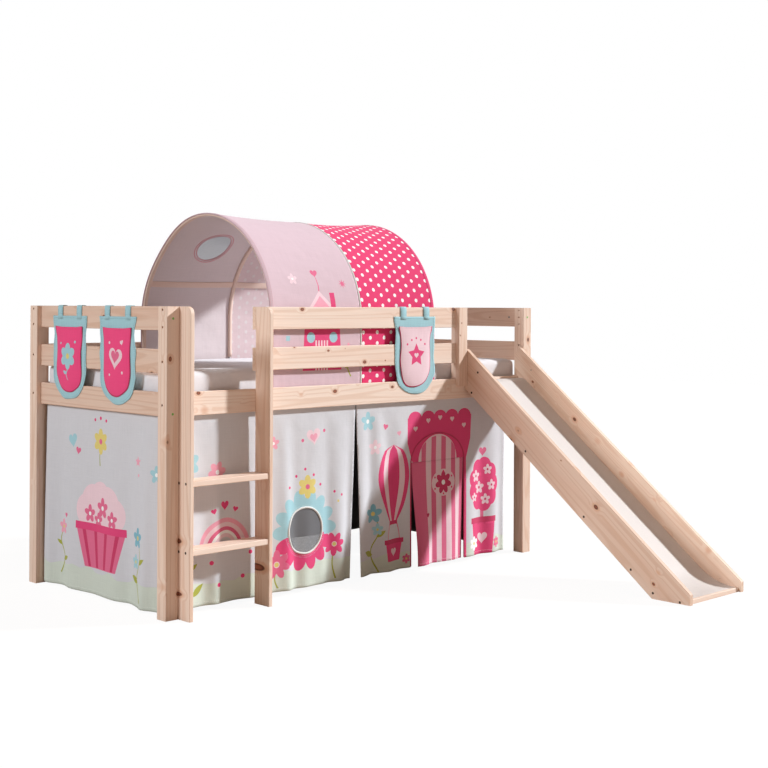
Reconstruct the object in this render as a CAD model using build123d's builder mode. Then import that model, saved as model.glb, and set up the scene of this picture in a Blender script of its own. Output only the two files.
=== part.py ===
from build123d import *
from collections import namedtuple
import math
import os

os.makedirs("parts", exist_ok=True)

# A child's mid-height loft bed in unfinished pine. It has a ladder, a slide, a play tunnel over
# the mattress, curtains round the den below it and three hanging pockets.
# +X runs along the bed, +Y from the slide towards the back, +Z up. The origin is on the floor,
# midway along the bed and midway between the slide's tip and the back of the posts.

# Frame
BED_LENGTH = 2075
BED_DEPTH = 980
BED_HEIGHT = 1150
POST_SIZE = 56
PLANK_THICK = 18
PLANK_HEIGHT = 89
PLANK_GAP = 70
ACCESS_WIDTH = 390
EDGE_ROUND = 3
GUARD_POST_DEPTH = 48
GUARD_POST_LAP = 33
SPARE_HOLE_INSET = 9
SPARE_HOLE_DEPTH = 12

# Room between pieces, and how far a cut runs past what it cuts
CLEARANCE = 0.3
OVERRUN = 5

# Fixings of the frame
BOLT_RADIUS = 3
BOLT_HOLE_RADIUS = 3.6
BOLT_HEAD_RADIUS = 4.5
BOLT_HEAD_LENGTH = 6
BOLT_HEAD_RECESS = 5
HEAD_HOLE_RADIUS = 4.8
BOLT_REACH = 58
BOLT_HOLE_REACH = 62
NUT_RADIUS = 5
NUT_LENGTH = 14
NUT_HOLE_DEPTH = 16
NUT_SETBACK = 50
TOP_BOLT_SPREAD = 32
END_RAIL_BOLT_RISE = 12
DOWEL_RADIUS = 4
DOWEL_LENGTH = 36
DOWEL_SPREAD = 28
PLUG_LENGTH = 4

# Slatted base and mattress
SLAT_COUNT = 13
SLAT_WIDTH = 70
SLAT_THICK = 14
SLAT_END_GAP = 20
SLAT_SIDE_GAP = 14
LEDGER_HEIGHT = 20
LEDGER_DEPTH = 28
STRAP_WIDTH = 25
STRAP_THICK = 1
STRAP_SPACING = 500
MATTRESS_END_GAP = 5.5
MATTRESS_HEIGHT = 115
SLAT_TOP_DROP = 37
MATTRESS_CORNER = 45
MATTRESS_EDGE = 18

# Ladder
LADDER_DEPTH = 89
LADDER_CORNER = 30
TREAD_THICK = 22
TREAD_SETBACK = 4
TREAD_BACK_GAP = 5
LOWER_TREAD_TOP = 260
UPPER_TREAD_TOP = 512

# Slide
SLIDE_REACH = 1167
SLIDE_TOP_DROP = 192
SLIDE_TIP = 43
SLIDE_BOARD_WIDTH = 143
SLIDE_BOARD_THICK = 18
SLIDE_HEAD_RISE = 100
SLIDE_HEAD_CUT = 30
SLIDE_TIP_ROUND = 12
CHUTE_DEPTH = 94
CHUTE_THICK = 5
CHUTE_BEND_REACH = 21.1
CHUTE_TOP_BEND = 60
CHUTE_FOOT_FLAT = 6.4
BATTEN_WIDTH = 50
BATTEN_HEIGHT = 38
SLIDE_SCREW_INSET = 17
TOP_BATTEN_SECTION = 35
TOP_BATTEN_REACH = 25
TOP_BATTEN_LIFT = 12.3
BATTEN_SHARES = (0.29049, 0.55956, 0.76178)
FOOT_BATTEN_RUN = 51.5
FOOT_BATTEN_WIDTH = 36
FOOT_BATTEN_HEIGHT = 34
FOOT_BATTEN_RISE = 2
END_STRIP_SETBACK = 12
END_STRIP_HEIGHT = 18
END_STRIP_DEPTH = 52
END_STRIP_LIP = 12
END_STRIP_SCREW_INSET = 17
HEAD_SCREW_REACH = 62
HEAD_SCREW_INSET = 38.1

# Screws
SCREW_RADIUS = 2.5
SCREW_HEAD_RADIUS = 5
SCREW_HEAD_HEIGHT = 2.5
SCREW_BITE = 30
SCREW_TIP_GAP = 5
RAIL_SCREW_BITE = 14
TREAD_SCREW_FRONT = 22
TREAD_SCREW_SPACING = 42
LEDGER_SCREW_COUNT = 5

# Places along the bed, as shares of its length from the left end
TUNNEL_START_SHARE = 0.2506
TUNNEL_SEAM_SHARE = 0.48675
TUNNEL_END_SHARE = 0.70169
TUNNEL_WINDOW_SHARE = 0.38072
CURTAIN_SPLIT_SHARE = 0.47277
CURTAIN_WINDOW_SHARE = 0.33928
DOOR_MIDDLE_SHARE = 0.71325
FRONT_POCKET_SHARE = 0.63084

# Places across the bed, as shares of its depth from the front
END_POCKET_SHARES = (0.35714, 0.7102)

# Cloth
CLOTH = 2
TUNNEL_RISE = 390
TUNNEL_SIDE_GAP = 3
TUNNEL_TUCK = 110
HOOP_WIDTH = 8
HOOP_THICK = 6
HOOP_INSET = 12
TUNNEL_WINDOW_RADIUS = 85
TUNNEL_WINDOW_ANGLE = 49.3
TAPE_THICK = 1.5
TAPE_HEIGHT = 14
TAPE_RISE = 2
CURTAIN_HEADING = 26
CURTAIN_WAVE = 9
CURTAIN_WAVE_LENGTH = 300
CURTAIN_WAVE_STEPS = 4
CURTAIN_POST_GAP = 3
FRONT_HEM = 20
END_HEM = 8
SPLIT_GAP = 1
SPLIT_SPREAD = 22
FRONT_RIGHT_GAP = 87
END_CURTAIN_GAP = 19
RIGHT_CURTAIN_START = 150
CURTAIN_WINDOW_RADIUS = 90
CURTAIN_WINDOW_RISE = 250
NET_THICK = 1
DOOR_WIDTH = 340
DOOR_SPRING = 475
DOOR_SIDE_GAP = 5
DOOR_HINGE_GAP = 0.95

# Hanging pockets
POCKET_WIDTH = 250
POCKET_HEIGHT = 337
POCKET_DROP = 40
POCKET_CLOTH = 2.5
POCKET_STANDOFF = 0.5
POUCH_WIDTH = 188
POUCH_HEIGHT = 262
POUCH_DROP = 45
POUCH_DEPTH = 14
LOOP_WIDTH = 38
LOOP_SPACING = 142
LOOP_BACK_DROP = 60

# Places worked out from the sizes
left_x = -BED_LENGTH / 2
right_x = BED_LENGTH / 2
front_y = (SLIDE_REACH - BED_DEPTH) / 2
back_y = front_y + BED_DEPTH
middle_y = (front_y + back_y) / 2
recess = (POST_SIZE - PLANK_THICK) / 2
inner_recess = recess + PLANK_THICK
top_low = BED_HEIGHT - PLANK_HEIGHT
middle_low = top_low - PLANK_GAP - PLANK_HEIGHT
rail_low = middle_low - PLANK_GAP - PLANK_HEIGHT
rail_top = rail_low + PLANK_HEIGHT
top_center = top_low + PLANK_HEIGHT / 2
middle_center = middle_low + PLANK_HEIGHT / 2
rail_center = rail_low + PLANK_HEIGHT / 2
slat_top = rail_top - SLAT_TOP_DROP
slat_low = slat_top - SLAT_THICK
ledger_low = slat_low - LEDGER_HEIGHT
front_inner_y = front_y + inner_recess
back_inner_y = back_y - inner_recess
left_inner_x = left_x + inner_recess
right_inner_x = right_x - inner_recess
ladder_left_x = left_x + POST_SIZE
ladder_right_x = ladder_left_x + ACCESS_WIDTH
slide_right_x = right_x - POST_SIZE
slide_left_x = slide_right_x - ACCESS_WIDTH
guard_post_x = slide_left_x - POST_SIZE
guard_start_x = ladder_right_x - PLANK_THICK
ladder_back_y = front_y + recess
upper_gap_center = (top_low + middle_low + PLANK_HEIGHT) / 2
lower_gap_center = (middle_low + rail_top) / 2
screw_hole_radius = SCREW_RADIUS + CLEARANCE
head_depth = SCREW_HEAD_HEIGHT + CLEARANCE

LEFTWARDS = Vector(-1, 0, 0)
RIGHTWARDS = Vector(1, 0, 0)
FORWARDS = Vector(0, -1, 0)
BACKWARDS = Vector(0, 1, 0)


def drill(start, direction, radius, depth):
    """Cut a round hole into the piece being built."""
    with Locations(Plane(origin=start, z_dir=direction)):
        Cylinder(radius, depth, align=(Align.CENTER, Align.CENTER, Align.MIN), mode=Mode.SUBTRACT)


def peg(start, direction, radius, length):
    """Add a round pin to the piece being built."""
    with Locations(Plane(origin=start, z_dir=direction)):
        Cylinder(radius, length, align=(Align.CENTER, Align.CENTER, Align.MIN))


def screw_hole(mouth, direction, depth):
    """Cut a screw's hole into the piece being built, with room for the head below its face."""
    drill(mouth, direction, screw_hole_radius, depth)
    drill(mouth, direction, SCREW_HEAD_RADIUS + CLEARANCE, head_depth)


def screw(mouth, direction, reach):
    """Add a screw whose head lies just below the face at mouth and whose tip is reach deep."""
    peg(mouth + direction * CLEARANCE, direction, SCREW_HEAD_RADIUS, SCREW_HEAD_HEIGHT)
    peg(mouth + direction * head_depth, direction, SCREW_RADIUS, reach - head_depth)


def timber(x_span, y_span, z_span, along):
    """A sawn length of wood between pairs of faces, its long edges rounded."""
    with BuildPart() as blank:
        with BuildSketch(Plane.XY.offset(z_span[0])):
            with Locations((sum(x_span) / 2, sum(y_span) / 2)):
                Rectangle(x_span[1] - x_span[0], y_span[1] - y_span[0])
        extrude(amount=z_span[1] - z_span[0])
        fillet(blank.edges().filter_by(along), EDGE_ROUND)
    return blank.part


# Each end of a plank that meets a post. end is the middle of that end in plan, inward points
# into the plank, face points from the plank to the mattress, and the rows are heights.
PlankEnd = namedtuple("PlankEnd", "end inward face bolt_rows dowel_rows")


def cut_plank_end(joint):
    """Cut the bolt, barrel nut and dowel holes in the end of the plank being built."""
    for row in joint.bolt_rows:
        start = Vector(joint.end[0], joint.end[1], row)
        drill(start, joint.inward, BOLT_HOLE_RADIUS, BOLT_HOLE_REACH)
        nut_mouth = start + joint.inward * NUT_SETBACK + joint.face * (PLANK_THICK / 2)
        drill(nut_mouth, -joint.face, NUT_RADIUS + CLEARANCE, NUT_HOLE_DEPTH)
    for row in joint.dowel_rows:
        start = Vector(joint.end[0], joint.end[1], row)
        drill(start, joint.inward, DOWEL_RADIUS + CLEARANCE, DOWEL_LENGTH / 2 + CLEARANCE)


# Planks along the bed, each between two posts
front_row_y = front_y + POST_SIZE / 2
back_row_y = back_y - POST_SIZE / 2
left_row_x = left_x + POST_SIZE / 2
right_row_x = right_x - POST_SIZE / 2
top_bolts = (top_center + TOP_BOLT_SPREAD, top_center - TOP_BOLT_SPREAD)
post_x_rows = top_bolts + (middle_center, rail_center)
post_y_rows = (top_center, rail_low + END_RAIL_BOLT_RISE)
corner_joints = []


def long_plank(row_y, low, face, bolt_rows, dowel_rows):
    """A plank from the left posts to the right posts."""
    left_end = PlankEnd((ladder_left_x, row_y), RIGHTWARDS, face, bolt_rows, dowel_rows)
    right_end = PlankEnd((slide_right_x, row_y), LEFTWARDS, face, bolt_rows, dowel_rows)
    corner_joints.extend((left_end, right_end))
    y_span = (row_y - PLANK_THICK / 2, row_y + PLANK_THICK / 2)
    with BuildPart() as plank:
        add(timber((ladder_left_x, slide_right_x), y_span, (low, low + PLANK_HEIGHT), Axis.X))
        cut_plank_end(left_end)
        cut_plank_end(right_end)
    return plank


def end_plank(row_x, low, face, bolt_rows, dowel_rows):
    """A plank across the bed, from a front post to a back post."""
    front_end = PlankEnd((row_x, front_y + POST_SIZE), BACKWARDS, face, bolt_rows, dowel_rows)
    back_end = PlankEnd((row_x, back_y - POST_SIZE), FORWARDS, face, bolt_rows, dowel_rows)
    corner_joints.extend((front_end, back_end))
    x_span = (row_x - PLANK_THICK / 2, row_x + PLANK_THICK / 2)
    y_span = (front_y + POST_SIZE, back_y - POST_SIZE)
    with BuildPart() as plank:
        add(timber(x_span, y_span, (low, low + PLANK_HEIGHT), Axis.Y))
        cut_plank_end(front_end)
        cut_plank_end(back_end)
    return plank


pieces = {}

top_dowels = (top_center,)
rail_dowels = (rail_center + DOWEL_SPREAD,)
middle_dowels = (middle_center + DOWEL_SPREAD,)
middle_dowel_pair = (middle_center + DOWEL_SPREAD, middle_center - DOWEL_SPREAD)
pieces["back_guard_top"] = long_plank(back_row_y, top_low, FORWARDS, top_bolts, top_dowels)
pieces["back_guard_middle"] = long_plank(
    back_row_y, middle_low, FORWARDS, (middle_center,), middle_dowels
)

# The bed rails also take the screws of the ledgers, the ladder and the guard post
ledger_x_span = (ladder_left_x + CLEARANCE, slide_right_x - CLEARANCE)
screw_step = (ledger_x_span[1] - ledger_x_span[0]) / LEDGER_SCREW_COUNT
ledger_screw_xs = []
for index in range(LEDGER_SCREW_COUNT):
    ledger_screw_xs.append(ledger_x_span[0] + screw_step * (index + 1 / 2))
ledger_z = ledger_low + LEDGER_HEIGHT / 2
ladder_screw_x = guard_start_x + PLANK_THICK / 2
ladder_screw_row = rail_center + DOWEL_SPREAD / 2
guard_screw_x = guard_post_x + POST_SIZE / 2
guard_screw_row = rail_top - GUARD_POST_LAP / 2

rail_blank = long_plank(back_row_y, rail_low, FORWARDS, (rail_center,), rail_dowels)
with BuildPart() as back_bed_rail:
    add(rail_blank.part)
    for x in ledger_screw_xs:
        mouth = Vector(x, back_inner_y, ledger_z)
        drill(mouth, BACKWARDS, screw_hole_radius, RAIL_SCREW_BITE + CLEARANCE)
pieces["back_bed_rail"] = back_bed_rail

rail_blank = long_plank(front_row_y, rail_low, BACKWARDS, (rail_center,), rail_dowels)
with BuildPart() as front_bed_rail:
    add(rail_blank.part)
    for x in ledger_screw_xs:
        mouth = Vector(x, front_inner_y, ledger_z)
        drill(mouth, FORWARDS, screw_hole_radius, RAIL_SCREW_BITE + CLEARANCE)
    guard_mouth = Vector(guard_screw_x, front_inner_y, guard_screw_row)
    drill(guard_mouth, FORWARDS, screw_hole_radius, RAIL_SCREW_BITE + CLEARANCE)
    ladder_mouth = Vector(ladder_screw_x, front_inner_y, ladder_screw_row)
    screw_hole(ladder_mouth, FORWARDS, PLANK_THICK)
pieces["front_bed_rail"] = front_bed_rail

end_top_dowels = (top_center + DOWEL_SPREAD,)
for side, row_x, face in (("left", left_row_x, RIGHTWARDS), ("right", right_row_x, LEFTWARDS)):
    pieces[f"{side}_end_plank_top"] = end_plank(
        row_x, top_low, face, (top_center,), end_top_dowels
    )
    pieces[f"{side}_end_plank_middle"] = end_plank(
        row_x, middle_low, face, (), middle_dowel_pair
    )
    pieces[f"{side}_end_rail"] = end_plank(
        row_x, rail_low, face, (rail_low + END_RAIL_BOLT_RISE,), rail_dowels
    )

# Corner posts: bolt holes right through along the bed, plugged bolt holes across it, and dowel
# holes in the two inner faces. All four are drilled alike, so some holes at the front stay empty.
post_screw_y = (front_y + ladder_back_y) / 2
side_screw_rows = (upper_gap_center, lower_gap_center)
for side, outer_x, inward_x in (("left", left_x, RIGHTWARDS), ("right", right_x, LEFTWARDS)):
    for place, outer_y, inward_y in (("front", front_y, BACKWARDS), ("back", back_y, FORWARDS)):
        inner_x = outer_x + inward_x.X * POST_SIZE
        inner_y = outer_y + inward_y.Y * POST_SIZE
        x_span = sorted((outer_x, inner_x))
        y_span = sorted((outer_y, inner_y))
        bolt_head_depth = BOLT_HEAD_RECESS + BOLT_HEAD_LENGTH
        with BuildPart() as post:
            add(timber(x_span, y_span, (0, BED_HEIGHT), Axis.Z))
            for row in post_x_rows:
                start = Vector(outer_x, sum(y_span) / 2, row)
                drill(start, inward_x, BOLT_HOLE_RADIUS, POST_SIZE)
                drill(start, inward_x, HEAD_HOLE_RADIUS, bolt_head_depth)
            for row in post_y_rows:
                start = Vector(sum(x_span) / 2, outer_y, row)
                drill(start, inward_y, BOLT_HOLE_RADIUS, POST_SIZE)
                drill(start, inward_y, HEAD_HOLE_RADIUS, bolt_head_depth)
            dowel_depth = DOWEL_LENGTH / 2 + CLEARANCE
            for row in top_dowels + middle_dowels + rail_dowels:
                mouth = Vector(inner_x, sum(y_span) / 2, row)
                drill(mouth, -inward_x, DOWEL_RADIUS + CLEARANCE, dowel_depth)
            for row in end_top_dowels + middle_dowel_pair + rail_dowels:
                mouth = Vector(sum(x_span) / 2, inner_y, row)
                drill(mouth, -inward_y, DOWEL_RADIUS + CLEARANCE, dowel_depth)
            if (place, side) == ("front", "left"):
                for row in side_screw_rows:
                    mouth = Vector(inner_x, post_screw_y, row)
                    drill(mouth, -inward_x, screw_hole_radius, SCREW_BITE + CLEARANCE)
        pieces[f"post_{place}_{side}"] = post

# Front guard planks, from the ladder's right rail to the guard post
guard_dowel_rows = {
    "front_guard_top": (top_center + DOWEL_SPREAD, top_center - DOWEL_SPREAD),
    "front_guard_middle": middle_dowel_pair,
}
guard_y_span = (front_y + recess, front_inner_y)
for name, rows in guard_dowel_rows.items():
    low = sum(rows) / 2 - PLANK_HEIGHT / 2
    with BuildPart() as guard_plank:
        add(timber((guard_start_x, guard_post_x), guard_y_span, (low, low + PLANK_HEIGHT), Axis.X))
        for row in rows:
            mouth = Vector(guard_post_x, front_row_y, row)
            drill(mouth, LEFTWARDS, DOWEL_RADIUS + CLEARANCE, DOWEL_LENGTH / 2 + CLEARANCE)
        ladder_mouth = Vector(ladder_screw_x, front_inner_y, sum(rows) / 2)
        screw_hole(ladder_mouth, FORWARDS, PLANK_THICK)
    pieces[name] = guard_plank

# The short post beside the slide straddles the bed rail
with BuildPart() as guard_post:
    x_span = (guard_post_x, slide_left_x)
    y_span = (front_y, front_y + GUARD_POST_DEPTH)
    add(timber(x_span, y_span, (rail_top - GUARD_POST_LAP, BED_HEIGHT), Axis.Z))
    with BuildSketch(Plane.XY.offset(rail_top - GUARD_POST_LAP)):
        with Locations(((guard_post_x + slide_left_x) / 2, front_row_y)):
            Rectangle(POST_SIZE + OVERRUN, PLANK_THICK + 2 * CLEARANCE)
    extrude(amount=GUARD_POST_LAP + CLEARANCE, mode=Mode.SUBTRACT)
    for rows in guard_dowel_rows.values():
        for row in rows:
            mouth = Vector(guard_post_x, front_row_y, row)
            drill(mouth, RIGHTWARDS, DOWEL_RADIUS + CLEARANCE, DOWEL_LENGTH / 2 + CLEARANCE)
    spare_mouth = Vector(guard_post_x + SPARE_HOLE_INSET, front_y, upper_gap_center)
    drill(spare_mouth, BACKWARDS, BOLT_HOLE_RADIUS, SPARE_HOLE_DEPTH)
    post_mouth = Vector(guard_screw_x, front_y + GUARD_POST_DEPTH, guard_screw_row)
    screw_hole(post_mouth, FORWARDS, GUARD_POST_DEPTH - recess)
pieces["guard_post"] = guard_post

# Fixings at the corners
with BuildPart() as frame_bolts:
    for joint in corner_joints:
        for row in joint.bolt_rows:
            outer = Vector(joint.end[0], joint.end[1], row) - joint.inward * POST_SIZE
            head = outer + joint.inward * BOLT_HEAD_RECESS
            peg(head, joint.inward, BOLT_HEAD_RADIUS, BOLT_HEAD_LENGTH)
            peg(head, joint.inward, BOLT_RADIUS, POST_SIZE - BOLT_HEAD_RECESS + BOLT_REACH)
pieces["frame_bolts"] = frame_bolts

with BuildPart() as barrel_nuts:
    for joint in corner_joints:
        for row in joint.bolt_rows:
            middle = Vector(joint.end[0], joint.end[1], row) + joint.inward * NUT_SETBACK
            peg(middle - joint.face * (NUT_LENGTH / 2), joint.face, NUT_RADIUS, NUT_LENGTH)
    for joint in corner_joints:
        for row in joint.bolt_rows:
            start = Vector(joint.end[0], joint.end[1], row)
            drill(start, joint.inward, BOLT_RADIUS + CLEARANCE / 2, BOLT_HOLE_REACH)
pieces["barrel_nuts"] = barrel_nuts

with BuildPart() as dowels:
    for joint in corner_joints:
        for row in joint.dowel_rows:
            mouth = Vector(joint.end[0], joint.end[1], row)
            peg(mouth - joint.inward * (DOWEL_LENGTH / 2), joint.inward, DOWEL_RADIUS, DOWEL_LENGTH)
    for rows in guard_dowel_rows.values():
        for row in rows:
            start = Vector(guard_post_x - DOWEL_LENGTH / 2, front_row_y, row)
            peg(start, RIGHTWARDS, DOWEL_RADIUS, DOWEL_LENGTH)
pieces["dowels"] = dowels

with BuildPart() as bolt_plugs:
    for outer_y, inward_y in ((front_y, BACKWARDS), (back_y, FORWARDS)):
        for row_x in (left_row_x, right_row_x):
            for row in post_y_rows:
                start = Vector(row_x, outer_y, row)
                peg(start, inward_y, HEAD_HOLE_RADIUS - CLEARANCE / 2, PLUG_LENGTH)
pieces["bolt_plugs"] = bolt_plugs

# Slatted base: two ledgers on the bed rails, slats across them, held apart by two straps
ledger_z_span = (ledger_low, slat_low)
ledger_faces = {
    "front": (front_inner_y, front_inner_y + LEDGER_DEPTH, FORWARDS),
    "back": (back_inner_y, back_inner_y - LEDGER_DEPTH, BACKWARDS),
}
for place, (rail_y, mouth_y, outwards) in ledger_faces.items():
    with BuildPart() as ledger:
        add(timber(ledger_x_span, sorted((rail_y, mouth_y)), ledger_z_span, Axis.X))
        for x in ledger_screw_xs:
            screw_hole(Vector(x, mouth_y, ledger_z), outwards, LEDGER_DEPTH)
    pieces[f"slat_ledger_{place}"] = ledger

slat_first_x = ladder_left_x + SLAT_END_GAP + SLAT_WIDTH / 2
slat_last_x = slide_right_x - SLAT_END_GAP - SLAT_WIDTH / 2
slat_step = (slat_last_x - slat_first_x) / (SLAT_COUNT - 1)
slat_length = back_inner_y - front_inner_y - 2 * SLAT_SIDE_GAP
with BuildPart() as bed_slats:
    with BuildSketch(Plane.XY.offset(slat_low)):
        for index in range(SLAT_COUNT):
            with Locations((slat_first_x + index * slat_step, middle_y)):
                Rectangle(SLAT_WIDTH, slat_length)
    extrude(amount=SLAT_THICK)
pieces["bed_slats"] = bed_slats

with BuildPart() as slat_straps:
    with BuildSketch(Plane.XY.offset(slat_low - STRAP_THICK)):
        for side in (-1, 1):
            with Locations((0, middle_y + side * STRAP_SPACING / 2)):
                Rectangle(slat_last_x - slat_first_x + SLAT_WIDTH, STRAP_WIDTH)
    extrude(amount=STRAP_THICK)
pieces["slat_straps"] = slat_straps

# Mattress, narrow enough for the tunnel's legs to stand beside it
tunnel_radius = (back_inner_y - front_inner_y) / 2 - TUNNEL_SIDE_GAP
hoop_radius = tunnel_radius - CLOTH - CLEARANCE
mattress_width = 2 * (hoop_radius - HOOP_THICK - CLEARANCE)
mattress_length = right_inner_x - left_inner_x - 2 * MATTRESS_END_GAP
with BuildPart() as mattress:
    with BuildSketch(Plane.XY.offset(slat_top)):
        with Locations((0, middle_y)):
            RectangleRounded(mattress_length, mattress_width, MATTRESS_CORNER)
    extrude(amount=MATTRESS_HEIGHT)
    fillet(mattress.faces().sort_by(Axis.Z)[-1].edges(), MATTRESS_EDGE)
    fillet(mattress.faces().sort_by(Axis.Z)[0].edges(), MATTRESS_EDGE)
pieces["mattress"] = mattress

# Ladder: two upright rails and two treads; the bed rail is the third step
ladder_front_y = front_y + recess - LADDER_DEPTH
tread_front_y = ladder_front_y + TREAD_SETBACK
tread_back_y = ladder_back_y - TREAD_BACK_GAP
tread_tops = {"ladder_tread_lower": LOWER_TREAD_TOP, "ladder_tread_upper": UPPER_TREAD_TOP}
tread_screw_ys = (
    tread_front_y + TREAD_SCREW_FRONT,
    tread_front_y + TREAD_SCREW_FRONT + TREAD_SCREW_SPACING,
)
guard_screw_rows = (top_center, middle_center, ladder_screw_row)
ladder_sides = {
    "left": (ladder_left_x, ladder_left_x, RIGHTWARDS),
    "right": (guard_start_x, ladder_right_x, LEFTWARDS),
}
for side, (low_x, outer_x, inwards) in ladder_sides.items():
    with BuildPart() as ladder_rail:
        with BuildSketch(Plane.YZ.offset(low_x)):
            with Locations(((ladder_front_y + ladder_back_y) / 2, BED_HEIGHT / 2)):
                Rectangle(LADDER_DEPTH, BED_HEIGHT)
        extrude(amount=PLANK_THICK)
        front_edges = ladder_rail.faces().sort_by(Axis.Z)[-1].edges().filter_by(Axis.X)
        fillet(front_edges.sort_by(Axis.Y)[0], LADDER_CORNER)
        fillet(ladder_rail.edges().filter_by(Axis.Z), EDGE_ROUND)
        for tread_top in tread_tops.values():
            for y in tread_screw_ys:
                mouth = Vector(outer_x, y, tread_top - TREAD_THICK / 2)
                screw_hole(mouth, inwards, PLANK_THICK)
        if side == "right":
            for row in guard_screw_rows:
                mouth = Vector(ladder_screw_x, ladder_back_y, row)
                drill(mouth, FORWARDS, screw_hole_radius, SCREW_BITE + CLEARANCE)
        else:
            for row in side_screw_rows:
                mouth = Vector(low_x + PLANK_THICK, post_screw_y, row)
                screw_hole(mouth, LEFTWARDS, PLANK_THICK)
    pieces[f"ladder_rail_{side}"] = ladder_rail

tread_left_x = ladder_left_x + PLANK_THICK + CLEARANCE / 2
tread_right_x = guard_start_x - CLEARANCE / 2
for name, tread_top in tread_tops.items():
    with BuildPart() as tread:
        z_span = (tread_top - TREAD_THICK, tread_top)
        add(timber((tread_left_x, tread_right_x), (tread_front_y, tread_back_y), z_span, Axis.X))
        middle_z = tread_top - TREAD_THICK / 2
        for y in tread_screw_ys:
            drill(Vector(tread_left_x, y, middle_z), RIGHTWARDS, screw_hole_radius, SCREW_BITE)
            drill(Vector(tread_right_x, y, middle_z), LEFTWARDS, screw_hole_radius, SCREW_BITE)
    pieces[name] = tread

board_screw_reach = PLANK_THICK + SCREW_BITE - SCREW_TIP_GAP
with BuildPart() as ladder_screws:
    for tread_top in tread_tops.values():
        for y in tread_screw_ys:
            for _, outer_x, inwards in ladder_sides.values():
                mouth = Vector(outer_x, y, tread_top - TREAD_THICK / 2)
                screw(mouth, inwards, board_screw_reach)
    for row in guard_screw_rows:
        screw(Vector(ladder_screw_x, front_inner_y, row), FORWARDS, PLANK_THICK + SCREW_BITE)
    for row in side_screw_rows:
        mouth = Vector(ladder_left_x + PLANK_THICK, post_screw_y, row)
        screw(mouth, LEFTWARDS, PLANK_THICK + SCREW_BITE)
pieces["ladder_screws"] = ladder_screws

with BuildPart() as rail_screws:
    for _, mouth_y, outwards in ledger_faces.values():
        for x in ledger_screw_xs:
            screw(Vector(x, mouth_y, ledger_z), outwards, LEDGER_DEPTH + RAIL_SCREW_BITE)
    screw(post_mouth, FORWARDS, GUARD_POST_DEPTH - inner_recess + RAIL_SCREW_BITE)
pieces["rail_screws"] = rail_screws

# Slide, in side view: each profile is drawn in the YZ plane, Y measured back from the tip side
slide_top = BED_HEIGHT - SLIDE_TOP_DROP
slide_slope = math.atan2(slide_top - SLIDE_TIP, SLIDE_REACH)


def slide_line(y, drop):
    """Height of the line that runs drop below the side boards' top edge, square to it."""
    return slide_top + (y - front_y) * math.tan(slide_slope) - drop / math.cos(slide_slope)


def slide_line_y(z, drop):
    """Where that line is at height z."""
    rise = z - slide_top + drop / math.cos(slide_slope)
    return front_y + rise / math.tan(slide_slope)


tip_y = front_y - SLIDE_REACH
rail_front_y = front_y + recess
notch_y = rail_front_y - CLEARANCE
notch_z = rail_top + CLEARANCE
head_cut_y = front_inner_y - SLIDE_HEAD_CUT
board_points = [
    (tip_y, 0),
    (tip_y, SLIDE_TIP),
    (head_cut_y, slide_line(head_cut_y, 0)),
    (front_inner_y, rail_top + SLIDE_HEAD_RISE),
    (front_inner_y, notch_z),
    (notch_y, notch_z),
    (notch_y, slide_line(notch_y, SLIDE_BOARD_WIDTH)),
    (slide_line_y(0, SLIDE_BOARD_WIDTH), 0),
]
slide_sides = {
    "near": (slide_left_x + CLEARANCE, RIGHTWARDS),
    "far": (slide_right_x - CLEARANCE, LEFTWARDS),
}
batten_line = SLIDE_BOARD_WIDTH - SLIDE_SCREW_INSET
top_batten_y = front_y - TOP_BATTEN_REACH
top_batten_z = slide_line(top_batten_y, SLIDE_BOARD_WIDTH) + TOP_BATTEN_LIFT
slide_screw_places = [(top_batten_y, top_batten_z)]
batten_places = []
for share in BATTEN_SHARES:
    y = front_y - SLIDE_REACH * share
    batten_places.append((y, slide_line(y, batten_line)))
slide_screw_places.extend(batten_places)

# The foot batten lies just below the chute, behind the bend at its foot
foot_bend_y = slide_line_y(END_STRIP_HEIGHT, CHUTE_DEPTH)
foot_batten_y = foot_bend_y + FOOT_BATTEN_RUN
foot_batten_front = foot_batten_y - FOOT_BATTEN_WIDTH / 2
foot_batten_top = slide_line(foot_batten_front, CHUTE_DEPTH + CHUTE_THICK) + FOOT_BATTEN_RISE
slide_screw_places.append((foot_batten_y, foot_batten_top - FOOT_BATTEN_HEIGHT / 2))
strip_front_y = tip_y + END_STRIP_SETBACK
strip_back_y = strip_front_y + END_STRIP_DEPTH
strip_height = END_STRIP_HEIGHT - CHUTE_THICK - CLEARANCE
slide_screw_places.append((strip_back_y - END_STRIP_SCREW_INSET, strip_height / 2))
head_screw_y = front_y - HEAD_SCREW_REACH
head_screw_place = (head_screw_y, slide_line(head_screw_y, HEAD_SCREW_INSET))
for side, (outer_x, inwards) in slide_sides.items():
    with BuildPart() as slide_board:
        with BuildSketch(Plane.YZ.offset(outer_x)):
            with BuildLine():
                Polyline(*board_points, close=True)
            make_face()
        extrude(amount=inwards.X * SLIDE_BOARD_THICK)
        tip_edges = slide_board.edges().filter_by(Axis.X).group_by(Axis.Y)[0]
        fillet(tip_edges.sort_by(Axis.Z)[-1], SLIDE_TIP_ROUND)
        for y, z in slide_screw_places + [head_screw_place]:
            screw_hole(Vector(outer_x, y, z), inwards, SLIDE_BOARD_THICK)
    pieces[f"slide_board_{side}"] = slide_board

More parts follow.
